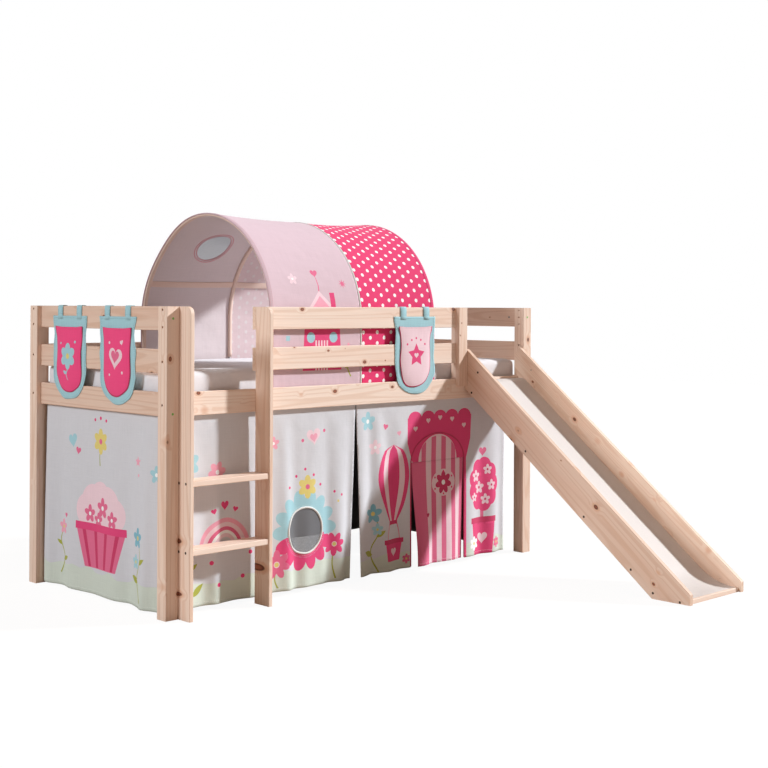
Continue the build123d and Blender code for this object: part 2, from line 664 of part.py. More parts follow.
slide_inner_left = slide_sides["near"][0] + SLIDE_BOARD_THICK + CLEARANCE
slide_inner_right = slide_sides["far"][0] - SLIDE_BOARD_THICK - CLEARANCE
slide_inner_width = slide_inner_right - slide_inner_left
chute_bend_y = front_y - CHUTE_BEND_REACH
chute_start = slide_line(chute_bend_y, CHUTE_DEPTH)
chute_end_y = strip_front_y + END_STRIP_LIP + CLEARANCE
chute_top = [
    (rail_front_y - CLEARANCE, chute_start),
    (chute_bend_y, chute_start),
    (foot_bend_y, END_STRIP_HEIGHT),
    (chute_end_y, END_STRIP_HEIGHT),
]
foot_bend_radius = (foot_bend_y - chute_end_y - CHUTE_FOOT_FLAT) / math.tan(slide_slope / 2)
with BuildPart() as slide_chute:
    with BuildSketch(Plane.YZ.offset(slide_inner_left)):
        with BuildLine() as chute_line:
            FilletPolyline(*chute_top, radius=[CHUTE_TOP_BEND, foot_bend_radius])
            offset(chute_line.line, amount=CHUTE_THICK, side=Side.LEFT)
        make_face()
    extrude(amount=slide_inner_width)
pieces["slide_chute"] = slide_chute

batten_top = CHUTE_DEPTH + CHUTE_THICK + CLEARANCE
batten_tilt = Vector(0, math.cos(slide_slope), math.sin(slide_slope))
with BuildPart() as slide_battens:
    for screw_y, screw_z in batten_places:
        screw_mouth = Vector(slide_inner_left, screw_y, screw_z)
        with BuildSketch(Plane(origin=screw_mouth, x_dir=batten_tilt, z_dir=RIGHTWARDS)):
            with Locations((0, batten_line - batten_top - BATTEN_HEIGHT / 2)):
                Rectangle(BATTEN_WIDTH, BATTEN_HEIGHT)
        extrude(amount=slide_inner_width)
        drill(screw_mouth, RIGHTWARDS, screw_hole_radius, SCREW_BITE)
        drill(Vector(slide_inner_right, screw_y, screw_z), LEFTWARDS, screw_hole_radius, SCREW_BITE)
pieces["slide_battens"] = slide_battens

single_battens = {
    "slide_top_batten": (slide_screw_places[0], TOP_BATTEN_SECTION, TOP_BATTEN_SECTION),
    "slide_foot_batten": (slide_screw_places[-2], FOOT_BATTEN_WIDTH, FOOT_BATTEN_HEIGHT),
}
for name, (center, wide, tall) in single_battens.items():
    with BuildPart() as batten:
        x_span = (slide_inner_left, slide_inner_right)
        y_span = (center[0] - wide / 2, center[0] + wide / 2)
        add(timber(x_span, y_span, (center[1] - tall / 2, center[1] + tall / 2), Axis.X))
        drill(Vector(slide_inner_left, *center), RIGHTWARDS, screw_hole_radius, SCREW_BITE)
        drill(Vector(slide_inner_right, *center), LEFTWARDS, screw_hole_radius, SCREW_BITE)
    pieces[name] = batten

# The chute's end lies in a rebate behind the end strip's lip
with BuildPart() as slide_end_strip:
    with BuildSketch(Plane.YZ.offset(slide_inner_left)):
        with BuildLine():
            Polyline(
                (strip_front_y, 0),
                (strip_front_y, END_STRIP_HEIGHT),
                (strip_front_y + END_STRIP_LIP, END_STRIP_HEIGHT),
                (strip_front_y + END_STRIP_LIP, strip_height),
                (strip_back_y, strip_height),
                (strip_back_y, 0),
                close=True,
            )
        make_face()
    extrude(amount=slide_inner_width)
    lip_edges = slide_end_strip.edges().filter_by(Axis.X).group_by(Axis.Y)[0]
    fillet(lip_edges.sort_by(Axis.Z)[-1], EDGE_ROUND)
    strip_screw = slide_screw_places[-1]
    drill(Vector(slide_inner_left, *strip_screw), RIGHTWARDS, screw_hole_radius, SCREW_BITE)
    drill(Vector(slide_inner_right, *strip_screw), LEFTWARDS, screw_hole_radius, SCREW_BITE)
pieces["slide_end_strip"] = slide_end_strip

batten_screw_reach = SLIDE_BOARD_THICK + SCREW_BITE - SCREW_TIP_GAP
with BuildPart() as slide_screws:
    for outer_x, inwards in slide_sides.values():
        for y, z in slide_screw_places:
            screw(Vector(outer_x, y, z), inwards, batten_screw_reach)
        screw(Vector(outer_x, *head_screw_place), inwards, SLIDE_BOARD_THICK)
pieces["slide_screws"] = slide_screws

# Play tunnel: two lengths of cloth over three flat sprung hoops that stand beside the mattress
tunnel_spring = BED_HEIGHT + TUNNEL_RISE - tunnel_radius
tunnel_hem = slat_top + MATTRESS_HEIGHT - TUNNEL_TUCK
tunnel_start_x = left_x + BED_LENGTH * TUNNEL_START_SHARE
tunnel_seam_x = left_x + BED_LENGTH * TUNNEL_SEAM_SHARE
tunnel_end_x = left_x + BED_LENGTH * TUNNEL_END_SHARE


def arch_face(radius, foot_z):
    """The area under a half-round arch on two straight legs, seen along the bed."""
    with BuildSketch() as arch:
        with BuildLine():
            foot = middle_y - radius
            far_foot = middle_y + radius
            crown = (middle_y, tunnel_spring + radius)
            Line((foot, foot_z), (foot, tunnel_spring))
            ThreePointArc((foot, tunnel_spring), crown, (far_foot, tunnel_spring))
            Line((far_foot, tunnel_spring), (far_foot, foot_z))
            Line((far_foot, foot_z), (foot, foot_z))
        make_face()
    return arch.sketch


window_slope = math.radians(TUNNEL_WINDOW_ANGLE)
window_radial = Vector(0, math.cos(window_slope), math.sin(window_slope))
window_center = Vector(left_x + BED_LENGTH * TUNNEL_WINDOW_SHARE, middle_y, tunnel_spring)
window_plane = Plane(origin=window_center, x_dir=RIGHTWARDS, z_dir=window_radial)
for name, x_span in (
    ("tunnel_cover_left", (tunnel_start_x, tunnel_seam_x)),
    ("tunnel_cover_right", (tunnel_seam_x, tunnel_end_x)),
):
    with BuildPart() as cover:
        with BuildSketch(Plane.YZ.offset(x_span[0])):
            add(arch_face(tunnel_radius, tunnel_hem))
            add(arch_face(tunnel_radius - CLOTH, tunnel_hem), mode=Mode.SUBTRACT)
        extrude(amount=x_span[1] - x_span[0])
        if name == "tunnel_cover_left":
            with BuildSketch(window_plane):
                Circle(TUNNEL_WINDOW_RADIUS)
            extrude(amount=tunnel_radius + OVERRUN, mode=Mode.SUBTRACT)
    pieces[name] = cover

with BuildPart() as tunnel_window_net:
    net_radius = tunnel_radius - (CLOTH - NET_THICK) / 2
    with BuildSketch(Plane.YZ.offset(tunnel_start_x)):
        add(arch_face(net_radius, tunnel_hem))
        add(arch_face(net_radius - NET_THICK, tunnel_hem), mode=Mode.SUBTRACT)
    extrude(amount=tunnel_seam_x - tunnel_start_x)
    with BuildSketch(window_plane):
        Circle(TUNNEL_WINDOW_RADIUS - CLEARANCE)
    extrude(amount=tunnel_radius + OVERRUN, mode=Mode.INTERSECT)
pieces["tunnel_window_net"] = tunnel_window_net

hoop_foot = slat_top + CLEARANCE
with BuildPart() as tunnel_hoops:
    for x in (tunnel_start_x + HOOP_INSET, tunnel_seam_x, tunnel_end_x - HOOP_INSET):
        with BuildSketch(Plane.YZ.offset(x - HOOP_WIDTH / 2)):
            add(arch_face(hoop_radius, hoop_foot))
            add(arch_face(hoop_radius - HOOP_THICK, hoop_foot), mode=Mode.SUBTRACT)
        extrude(amount=HOOP_WIDTH)
pieces["tunnel_hoops"] = tunnel_hoops


def hanging_strip(start, end, waves, swing):
    """A curtain's edge seen from above: a thin strip that sways to each side in whole waves."""
    along = end - start
    sideways = Vector(-along.Y, along.X).normalized()
    half_cloth = sideways * (CLOTH / 2)
    steps = CURTAIN_WAVE_STEPS * waves
    places = []
    for step in range(steps + 1):
        sway = swing * math.sin(2 * math.pi * waves * step / steps)
        places.append(start + along * (step / steps) + sideways * sway)
    with BuildSketch() as strip:
        with BuildLine():
            near = Spline(*[place - half_cloth for place in places])
            far = Spline(*[place + half_cloth for place in places])
            Line(near @ 0, far @ 0)
            Line(near @ 1, far @ 1)
        make_face()
    return strip.sketch


tape_z_span = (rail_low + TAPE_RISE, rail_low + TAPE_RISE + TAPE_HEIGHT)
heading_low = tape_z_span[1] - CURTAIN_HEADING


def curtain(top, foot, hem):
    """Cloth that is flat at its heading and falls into soft folds at its hem.

    top and foot are the two ends of its heading and of its hem, seen from above.
    """
    waves = max(1, round((top[1] - top[0]).length / CURTAIN_WAVE_LENGTH))
    with BuildPart() as fall:
        with BuildSketch(Plane.XY.offset(heading_low)):
            add(hanging_strip(*top, waves, 0))
        extrude(amount=CURTAIN_HEADING)
        with BuildSketch(Plane.XY.offset(heading_low)):
            add(hanging_strip(*top, waves, 0))
        with BuildSketch(Plane.XY.offset(hem)):
            add(hanging_strip(*foot, waves, CURTAIN_WAVE))
        loft(ruled=True)
    return fall.part


cloth_setback = TAPE_THICK + CLEARANCE + CLOTH / 2
front_cloth_y = front_inner_y + cloth_setback
back_cloth_y = back_inner_y - cloth_setback
left_cloth_x = left_inner_x + cloth_setback
right_cloth_x = right_inner_x - cloth_setback
end_start_y = front_y + POST_SIZE + CURTAIN_POST_GAP
end_stop_y = back_y - POST_SIZE - END_CURTAIN_GAP
right_start_y = front_y + RIGHT_CURTAIN_START
front_left_start = ladder_left_x + CURTAIN_POST_GAP
split_x = left_x + BED_LENGTH * CURTAIN_SPLIT_SHARE
split_left_x = split_x - SPLIT_GAP / 2
split_right_x = split_x + SPLIT_GAP / 2
front_right_stop = slide_right_x - FRONT_RIGHT_GAP
back_start_x = ladder_left_x + CURTAIN_POST_GAP
back_stop_x = slide_right_x - CURTAIN_POST_GAP

left_end_top = (Vector(left_cloth_x, end_start_y), Vector(left_cloth_x, end_stop_y))
with BuildPart() as curtain_left_end:
    add(curtain(left_end_top, left_end_top, END_HEM))
pieces["curtain_left_end"] = curtain_left_end

# The two curtains at the hidden sides hang flat
with BuildPart() as curtain_right_end:
    with BuildSketch(Plane.XY.offset(END_HEM)):
        with Locations((right_cloth_x, (right_start_y + end_stop_y) / 2)):
            Rectangle(CLOTH, end_stop_y - right_start_y)
    extrude(amount=tape_z_span[1] - END_HEM)
pieces["curtain_right_end"] = curtain_right_end

with BuildPart() as curtain_back:
    with BuildSketch(Plane.XY.offset(FRONT_HEM)):
        with Locations(((back_start_x + back_stop_x) / 2, back_cloth_y)):
            Rectangle(back_stop_x - back_start_x, CLOTH)
    extrude(amount=tape_z_span[1] - FRONT_HEM)
pieces["curtain_back"] = curtain_back

window_x = left_x + BED_LENGTH * CURTAIN_WINDOW_SHARE
net_origin = Vector(window_x, front_cloth_y - NET_THICK / 2, CURTAIN_WINDOW_RISE)
net_plane = Plane(origin=net_origin, x_dir=RIGHTWARDS, z_dir=BACKWARDS)
front_left_top = (Vector(front_left_start, front_cloth_y), Vector(split_left_x, front_cloth_y))
front_left_foot = (front_left_top[0], front_left_top[1] + LEFTWARDS * SPLIT_SPREAD)
with BuildPart() as curtain_front_left:
    add(curtain(front_left_top, front_left_foot, FRONT_HEM))
    with BuildSketch(net_plane):
        Circle(CURTAIN_WINDOW_RADIUS)
    extrude(amount=POST_SIZE, both=True, mode=Mode.SUBTRACT)
pieces["curtain_front_left"] = curtain_front_left

with BuildPart() as curtain_window_net:
    with BuildSketch(net_plane):
        Circle(CURTAIN_WINDOW_RADIUS - CLEARANCE)
    extrude(amount=NET_THICK)
pieces["curtain_window_net"] = curtain_window_net

door_x = left_x + BED_LENGTH * DOOR_MIDDLE_SHARE
front_right_top = (Vector(split_right_x, front_cloth_y), Vector(front_right_stop, front_cloth_y))
front_right_foot = (front_right_top[0] + RIGHTWARDS * SPLIT_SPREAD, front_right_top[1])
with BuildPart() as curtain_front_right:
    add(curtain(front_right_top, front_right_foot, FRONT_HEM))
    with BuildSketch(Plane.XY.offset(DOOR_SPRING)):
        with Locations((door_x, front_cloth_y)):
            Rectangle(DOOR_WIDTH, POST_SIZE)
    extrude(amount=-DOOR_SPRING, mode=Mode.SUBTRACT)
pieces["curtain_front_right"] = curtain_front_right

with BuildPart() as door_flap:
    with BuildSketch(Plane.XY.offset(DOOR_SPRING - DOOR_HINGE_GAP)):
        with Locations((door_x, front_cloth_y)):
            Rectangle(DOOR_WIDTH - 2 * DOOR_SIDE_GAP, CLOTH)
    extrude(amount=FRONT_HEM - DOOR_SPRING + DOOR_HINGE_GAP)
pieces["door_flap"] = door_flap

# Hook-and-loop tape inside the rails, which holds the curtains' headings
with BuildPart() as curtain_tapes:
    with BuildSketch(Plane.XY.offset(tape_z_span[0])):
        for start, stop in ((front_left_start, split_left_x), (split_right_x, front_right_stop)):
            with Locations(((start + stop) / 2, front_inner_y + TAPE_THICK / 2)):
                Rectangle(stop - start, TAPE_THICK)
        with Locations(((back_start_x + back_stop_x) / 2, back_inner_y - TAPE_THICK / 2)):
            Rectangle(back_stop_x - back_start_x, TAPE_THICK)
        with Locations((left_inner_x + TAPE_THICK / 2, (end_start_y + end_stop_y) / 2)):
            Rectangle(TAPE_THICK, end_stop_y - end_start_y)
        with Locations((right_inner_x - TAPE_THICK / 2, (right_start_y + end_stop_y) / 2)):
            Rectangle(TAPE_THICK, end_stop_y - right_start_y)
    extrude(amount=TAPE_HEIGHT)
pieces["curtain_tapes"] = curtain_tapes


def pocket_face(wide, tall):
    """A flat top, straight sides and a half-round foot, hung from the middle of the top."""
    half = wide / 2
    with BuildSketch() as outline:
        with BuildLine():
            Line((-half, 0), (half, 0))
            Line((half, 0), (half, half - tall))
            ThreePointArc((half, half - tall), (0, -tall), (-half, half - tall))
            Line((-half, half - tall), (-half, 0))
        make_face()
    return outline.sketch


# Three pockets: each is a panel with a pouch sewn on, below two loops over the top plank
pocket_top = BED_HEIGHT - POCKET_DROP
pocket_back = recess - POCKET_STANDOFF
pocket_front = pocket_back - POCKET_CLOTH
pocket_places = {}
for name, share in zip(("end_pocket_near", "end_pocket_far"), END_POCKET_SHARES):
    origin = Vector(left_x + pocket_front, front_y + BED_DEPTH * share, pocket_top)
    pocket_places[name] = (origin, FORWARDS, LEFTWARDS)
front_pocket_x = left_x + BED_LENGTH * FRONT_POCKET_SHARE
front_origin = Vector(front_pocket_x, front_y + pocket_front, pocket_top)
pocket_places["front_pocket"] = (front_origin, RIGHTWARDS, FORWARDS)

for name, (origin, across, outwards) in pocket_places.items():
    face = Plane(origin=origin, x_dir=across, z_dir=outwards)
    with BuildPart() as panel:
        with BuildSketch(face):
            add(pocket_face(POCKET_WIDTH, POCKET_HEIGHT))
        extrude(amount=-POCKET_CLOTH)
    pieces[f"{name}_panel"] = panel
    mouth = Plane(origin=origin - Vector(0, 0, POUCH_DROP), x_dir=across, z_dir=outwards)
    with BuildPart() as pouch:
        with BuildSketch(mouth):
            add(pocket_face(POUCH_WIDTH, POUCH_HEIGHT))
        extrude(amount=POUCH_DEPTH)
        with BuildSketch(mouth):
            add(pocket_face(POUCH_WIDTH - 2 * CLOTH, POUCH_HEIGHT - CLOTH))
        extrude(amount=POUCH_DEPTH - CLOTH, mode=Mode.SUBTRACT)
    pieces[f"{name}_pouch"] = pouch

over = POCKET_DROP + CLOTH
back = POCKET_CLOTH + POCKET_STANDOFF + PLANK_THICK + CLEARANCE + CLOTH
with BuildPart() as pocket_loops:
    for origin, across, outwards in pocket_places.values():
        for side in (-1, 1):
            edge = side * LOOP_SPACING / 2 - LOOP_WIDTH / 2
            start = origin + across * edge + Vector(0, 0, CLEARANCE)
            with BuildSketch(Plane(origin=start, x_dir=-outwards, z_dir=across)):
                with BuildLine():
                    Polyline(
                        (0, 0),
                        (0, over),
                        (back, over),
                        (back, over - LOOP_BACK_DROP),
                        (back - CLOTH, over - LOOP_BACK_DROP),
                        (back - CLOTH, over - CLOTH),
                        (CLOTH, over - CLOTH),
                        (CLOTH, 0),
                        close=True,
                    )
                make_face()
            extrude(amount=LOOP_WIDTH)
pieces["pocket_loops"] = pocket_loops

for name, piece in pieces.items():
    piece.part.label = name
    export_step(piece.part, f"parts/{name}.step")
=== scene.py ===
import math
import random

import bmesh
import bpy
import numpy as np
from mathutils import Matrix, Vector, noise
from mathutils.geometry import delaunay_2d_cdt


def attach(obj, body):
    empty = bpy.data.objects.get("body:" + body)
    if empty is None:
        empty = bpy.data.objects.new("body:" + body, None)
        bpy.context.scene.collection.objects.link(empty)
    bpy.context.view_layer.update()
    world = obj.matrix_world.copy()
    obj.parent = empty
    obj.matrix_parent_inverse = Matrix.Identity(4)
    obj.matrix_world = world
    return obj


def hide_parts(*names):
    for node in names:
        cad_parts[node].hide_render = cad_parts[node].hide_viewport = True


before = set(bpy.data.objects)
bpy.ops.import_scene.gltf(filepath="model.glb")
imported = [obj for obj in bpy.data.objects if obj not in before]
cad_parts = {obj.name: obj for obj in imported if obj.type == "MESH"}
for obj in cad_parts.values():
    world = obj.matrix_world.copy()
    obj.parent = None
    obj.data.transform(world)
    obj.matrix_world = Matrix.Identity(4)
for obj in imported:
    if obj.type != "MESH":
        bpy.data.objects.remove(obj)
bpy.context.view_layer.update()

# A child's loft bed in bare pine with a ladder, a slide, a play tunnel, curtains and pockets.
# Lengths below are in mm from the outer foot of the front left post: x along the bed, y towards
# the back, z up. at() turns such a place into metres in the frame.
MM = 0.001
FOOT_X = -1037.5
FOOT_Y = 93.5


def at(x, y, z):
    """A place measured from the foot of the front left post, as a place in the frame."""
    return Vector(((x + FOOT_X) * MM, (y + FOOT_Y) * MM, z * MM))


def ease(value, low, high):
    """0 below low, 1 above high and a smooth rise between them."""
    share = min(1.0, max(0.0, (value - low) / (high - low)))
    return share * share * (3 - 2 * share)


def hump(value, middle, width):
    """A soft ridge, 1 at its middle."""
    return math.exp(-((value - middle) / width) ** 2)


# Materials

def colour(code):
    """An sRGB hex value as the linear colour that the shaders take."""
    shares = [int(code[place:place + 2], 16) / 255 for place in (1, 3, 5)]
    return tuple(c / 12.92 if c <= 0.04045 else ((c + 0.055) / 1.055) ** 2.4 for c in shares) + (1.0,)


def feed(node, socket, value):
    """Give a node's input its value or its link."""
    if isinstance(value, bpy.types.NodeSocket):
        node.id_data.links.new(value, node.inputs[socket])
    else:
        node.inputs[socket].default_value = value


def put(tree, kind, inputs=None, **settings):
    """Add a node with its settings, then feed its inputs."""
    node = tree.nodes.new(kind)
    for name, value in settings.items():
        setattr(node, name, value)
    for socket, value in (inputs or {}).items():
        feed(node, socket, value)
    return node


def vectors(tree, operation, first, second=None):
    """The result of one operation on vectors."""
    inputs = {0: first}
    if second is not None:
        inputs["Scale" if operation == "SCALE" else 1] = second
    node = put(tree, "ShaderNodeVectorMath", inputs, operation=operation)
    return node.outputs["Value" if operation in ("DOT_PRODUCT", "LENGTH") else "Vector"]


def numbers(tree, operation, first, second=None):
    """The result of one operation on numbers."""
    inputs = {0: first} if second is None else {0: first, 1: second}
    return put(tree, "ShaderNodeMath", inputs, operation=operation).outputs[0]


def mapped(tree, value, span, result=(0.0, 1.0), soft=True):
    """A value carried from one span to another, eased at both ends or in a straight line."""
    return put(tree, "ShaderNodeMapRange",
               {"Value": value, "From Min": span[0], "From Max": span[1],
                "To Min": result[0], "To Max": result[1]},
               interpolation_type="SMOOTHSTEP" if soft else "LINEAR").outputs[0]


def blended(tree, share, first, second):
    """Two colours mixed, each a hex value or a socket."""
    ends = [colour(end) if isinstance(end, str) else end for end in (first, second)]
    return put(tree, "ShaderNodeMix", {0: share, 6: ends[0], 7: ends[1]}, data_type="RGBA").outputs[2]


def clouds(tree, place, detail, scale=1.0, roughness=0.5):
    """Soft random tones round 0.5."""
    return put(tree, "ShaderNodeTexNoise", {"Vector": place, "Scale": scale, "Detail": detail,
                                            "Roughness": roughness}).outputs[0]


def dented(tree, height, strength, depth, over=None):
    """The normal of a bump, its depth in metres, over another one if given."""
    inputs = {"Height": height, "Strength": strength, "Distance": depth}
    if over is not None:
        inputs["Normal"] = over
    return put(tree, "ShaderNodeBump", inputs).outputs[0]


def object_place(tree):
    return put(tree, "ShaderNodeTexCoord").outputs["Object"]


def flat_place(tree):
    return put(tree, "ShaderNodeUVMap", uv_map="flat").outputs["UV"]


def new_material(name):
    """An empty material, its tree and its surface shader."""
    material = bpy.data.materials.new(name)
    material.use_nodes = True
    tree = material.node_tree
    tree.nodes.clear()
    shader = put(tree, "ShaderNodeBsdfPrincipled")
    put(tree, "ShaderNodeOutputMaterial", {"Surface": shader.outputs["BSDF"]})
    return material, tree, shader


# Pine, sawn and planed and left bare: pale cream wood with pinkish late-wood lines that run along
# each piece and bow round small red-brown knots. Real growth rings are 2 to 3 mm apart, so here
# they are drawn 6 to 9 mm apart to show. No varnish, so it has only a broad dull gleam.
PINE_PALE = "#F4DBC9"
PINE_LATE = "#DFB79B"
PINE_ROSY = "#EBC5AE"
END_GRAIN = "#D9B395"
KNOT_HEART = "#A05A3C"
KNOT_RIM = "#5A2A1A"
KNOT_HALO = "#D69C76"
# Metres of wood for each knot, a knot's stretch along the grain, and its least and greatest radius
KNOT_CELL = (0.170, 0.066, 0.150)
KNOT_STRETCH = (0.70, 1.0, 0.22)
KNOT_RADII = (0.0012, 0.0105)
# How often each field repeats in a metre: along the grain, across it and through the board
RING_FIELD = (0.42, 9.5, 9.5)
FIBRE_FIELD = (7.0, 420.0, 420.0)
PATCH_FIELD = (1.6, 13.0, 11.0)
RING_TURNS = 92.0


def planed_pine(name, along, across, through, drift, painted_shade_tint):
    """Bare pine whose grain runs along one direction of the frame, its colour scaled by a tint of painted
    shade.
    """
    material, tree, shader = new_material(name)
    place = object_place(tree)
    axes = {axis: vectors(tree, "DOT_PRODUCT", place, direction)
            for axis, direction in enumerate((along, across, through))}
    local = vectors(tree, "ADD", put(tree, "ShaderNodeCombineXYZ", axes).outputs[0], drift)

    # Knots: branches that ran through the board, 2 to 20 mm across
    cell = vectors(tree, "DIVIDE", local, KNOT_CELL)
    knots = put(tree, "ShaderNodeTexVoronoi", {"Vector": cell, "Scale": 1.0, "Randomness": 0.9})
    away = vectors(tree, "SUBTRACT", cell, knots.outputs["Position"])
    away = vectors(tree, "MULTIPLY", away, KNOT_CELL)
    away = vectors(tree, "MULTIPLY", away, KNOT_STRETCH)
    lot = put(tree, "ShaderNodeSeparateColor", {0: knots.outputs["Color"]}).outputs[0]
    radius = mapped(tree, lot, (0.30, 1.0), KNOT_RADII, soft=False)
    depth = numbers(tree, "DIVIDE", vectors(tree, "LENGTH", away), radius)
    knot = mapped(tree, depth, (0.85, 1.15), (1.0, 0.0))
    rim = mapped(tree, depth, (0.35, 0.95))
    bow = mapped(tree, depth, (0.9, 3.6), (0.055, 0.0))
    halo = mapped(tree, depth, (1.0, 2.3), (0.6, 0.0))

    # Growth rings: level lines of a slow field that is drawn out along the grain
    field = clouds(tree, vectors(tree, "MULTIPLY", local, RING_FIELD), 1.0, roughness=0.4)
    field = numbers(tree, "ADD", field, bow)
    rings = numbers(tree, "SINE", numbers(tree, "MULTIPLY", field, RING_TURNS))
    late = mapped(tree, rings, (0.15, 1.0), (0.0, 0.46))
    fibre = clouds(tree, vectors(tree, "MULTIPLY", local, FIBRE_FIELD), 3.0, roughness=0.6)
    patch = clouds(tree, vectors(tree, "MULTIPLY", local, PATCH_FIELD), 2.0)
    rosy = mapped(tree, patch, (0.42, 0.72), (0.0, 0.5))
    wood = blended(tree, rosy, PINE_PALE, PINE_ROSY)
    wood = blended(tree, late, wood, PINE_LATE)
    tone = mapped(tree, fibre, (0.25, 0.75), (0.93, 1.05), soft=False)
    wood = vectors(tree, "SCALE", wood, tone)
    # Painted shade: the tint darkens and warms the whole piece to stand in for the shade on its faces
    wood = vectors(tree, "MULTIPLY", wood, painted_shade_tint)
    wood = blended(tree, halo, wood, KNOT_HALO)
    surface = blended(tree, knot, wood, blended(tree, rim, KNOT_HEART, KNOT_RIM))

    # End grain is darker and thirstier than the sides
    normal = put(tree, "ShaderNodeTexCoord").outputs["Normal"]
    facing = numbers(tree, "ABSOLUTE", vectors(tree, "DOT_PRODUCT", normal, along))
    end = mapped(tree, facing, (0.75, 0.95), (0.0, 0.45), soft=False)
    feed(shader, "Base Color", blended(tree, end, surface, END_GRAIN))
    feed(shader, "Roughness", mapped(tree, fibre, (0.0, 1.0), (0.52, 0.72), soft=False))
    feed(shader, "Normal", dented(tree, numbers(tree, "ADD", late, fibre), 0.25, 0.0006))
    return material


X_AXIS, Y_AXIS, Z_AXIS = (1, 0, 0), (0, 1, 0), (0, 0, 1)
SLIDE_RISE = 958 - 43
SLIDE_RUN = 1167
SLIDE_SLOPE = math.atan2(SLIDE_RISE, SLIDE_RUN)
SLIDE_ALONG = (0, math.cos(SLIDE_SLOPE), math.sin(SLIDE_SLOPE))
SLIDE_UP = (0, -math.sin(SLIDE_SLOPE), math.cos(SLIDE_SLOPE))
# The last tint of each is painted shade: it darkens and warms the end planks, uprights and slide boards where
# their faces get less light, and the slide's far board less than the near one, painting light on its inner
# face
pine_along_bed = planed_pine("planed_pine_along_bed", X_AXIS, Z_AXIS, Y_AXIS, (0.31, 0.02, 0.013),
                             (1.0, 1.0, 1.0))
pine_across_bed = planed_pine("planed_pine_across_bed", Y_AXIS, Z_AXIS, X_AXIS, (0.93, 0.05, 0.02),
                              (0.84, 0.76, 0.71))
pine_upright = planed_pine("planed_pine_upright", Z_AXIS, X_AXIS, Y_AXIS, (0.17, 0.043, 0.0),
                           (0.95, 0.91, 0.88))
pine_slide = planed_pine("planed_pine_slide", SLIDE_ALONG, SLIDE_UP, X_AXIS, (0.6, 0.031, 0.051),
                         (0.85, 0.77, 0.71))
pine_slide_far = planed_pine("planed_pine_slide_far", SLIDE_ALONG, SLIDE_UP, X_AXIS, (0.25, 0.11, 0.09),
                             (0.92, 0.88, 0.83))


# Cotton and polycotton, plain woven and printed. Threads are 0.4 mm apart, drawn 1.8 mm apart so
# that they show. Its face is matt with a faint fuzz, slubs vary the colour a little along each
# thread, and loose lengths hold soft crumples.
THREAD = 0.0018
THREAD_LENGTHS = 0.02
CANVAS_BLUE = "#A3CCD3"
CRUMPLES_IN_A_METRE = 17.0


def woven_cotton(name, plain=None, print_share=1.0, crumple=0.35, slub=0.05):
    """Woven cloth in one colour, or in its piece's print where plain is None.

    A lining takes print_share of the print, because ink shows faintly through thin cotton.
    """
    material, tree, shader = new_material(name)
    flat = flat_place(tree)
    printed = put(tree, "ShaderNodeAttribute", attribute_name="print").outputs["Color"]
    if plain is None:
        base = printed
    elif print_share > 0:
        base = blended(tree, print_share, plain, printed)
    else:
        base = put(tree, "ShaderNodeRGB").outputs[0]
        base.default_value = colour(plain)
    fine, drawn_out = 1 / THREAD, THREAD_LENGTHS / THREAD
    threads = [clouds(tree, vectors(tree, "MULTIPLY", flat, stretch), 1.0)
               for stretch in ((fine, drawn_out, 1), (drawn_out, fine, 1))]
    weave = numbers(tree, "ADD", *threads)
    tone = mapped(tree, weave, (0.6, 1.4), (1 - slub, 1 + slub), soft=False)
    feed(shader, "Base Color", vectors(tree, "SCALE", base, tone))
    soft = clouds(tree, object_place(tree), 2.0, CRUMPLES_IN_A_METRE, 0.45)
    folds = dented(tree, soft, crumple, 0.006)
    feed(shader, "Normal", dented(tree, weave, 0.35, 0.0004, over=folds))
    feed(shader, "Roughness", 0.85)
    feed(shader, "Sheen Weight", 0.10)
    feed(shader, "Sheen Roughness", 0.5)
    return material


def plain_cotton(name, code, crumple=0.1, slub=0.05):
    return woven_cotton(name, code, 0.0, crumple, slub)


printed_cotton = woven_cotton("printed_cotton")
curtain_lining = woven_cotton("printed_cotton_reverse", "#D9D7D1", 0.12)
# Painted shade: the back and right end curtains' inner side is dark grey, standing in for the deep shade
# inside the den under the bed
painted_shade_lining = plain_cotton("painted_shade_cotton_lining", "#4C4B50", 0.35)
tunnel_lining = woven_cotton("pink_polycotton_reverse", "#D8CBCB", 0.10)
pale_binding = plain_cotton("pale_pink_bias_binding", "#C9AAB0")
seam_binding = plain_cotton("grey_white_seam_binding", "#CFC9C4")
beige_tape = plain_cotton("beige_channel_tape", "#E4C8BA")
blue_canvas = plain_cotton("blue_grey_canvas", CANVAS_BLUE, 0.2, 0.09)
white_percale = plain_cotton("white_percale_sheet", "#E6E1E3", 0.8, 0.02)
pink_thread = plain_cotton("pink_sewing_thread", "#D98B97", 0.0)
blue_thread = plain_cotton("blue_grey_sewing_thread", "#7FAEB5", 0.0)
white_thread = plain_cotton("white_sewing_thread", "#F0EDE8", 0.0)
rose_piping = plain_cotton("rose_cotton_piping", "#C4355F")
white_piping = plain_cotton("white_cotton_piping", "#EFEDE9")
hot_piping = plain_cotton("hot_pink_cotton_piping", "#D8316A")

NET_PITCH = 0.0026
NET_HOLE_BLUR = 0.04


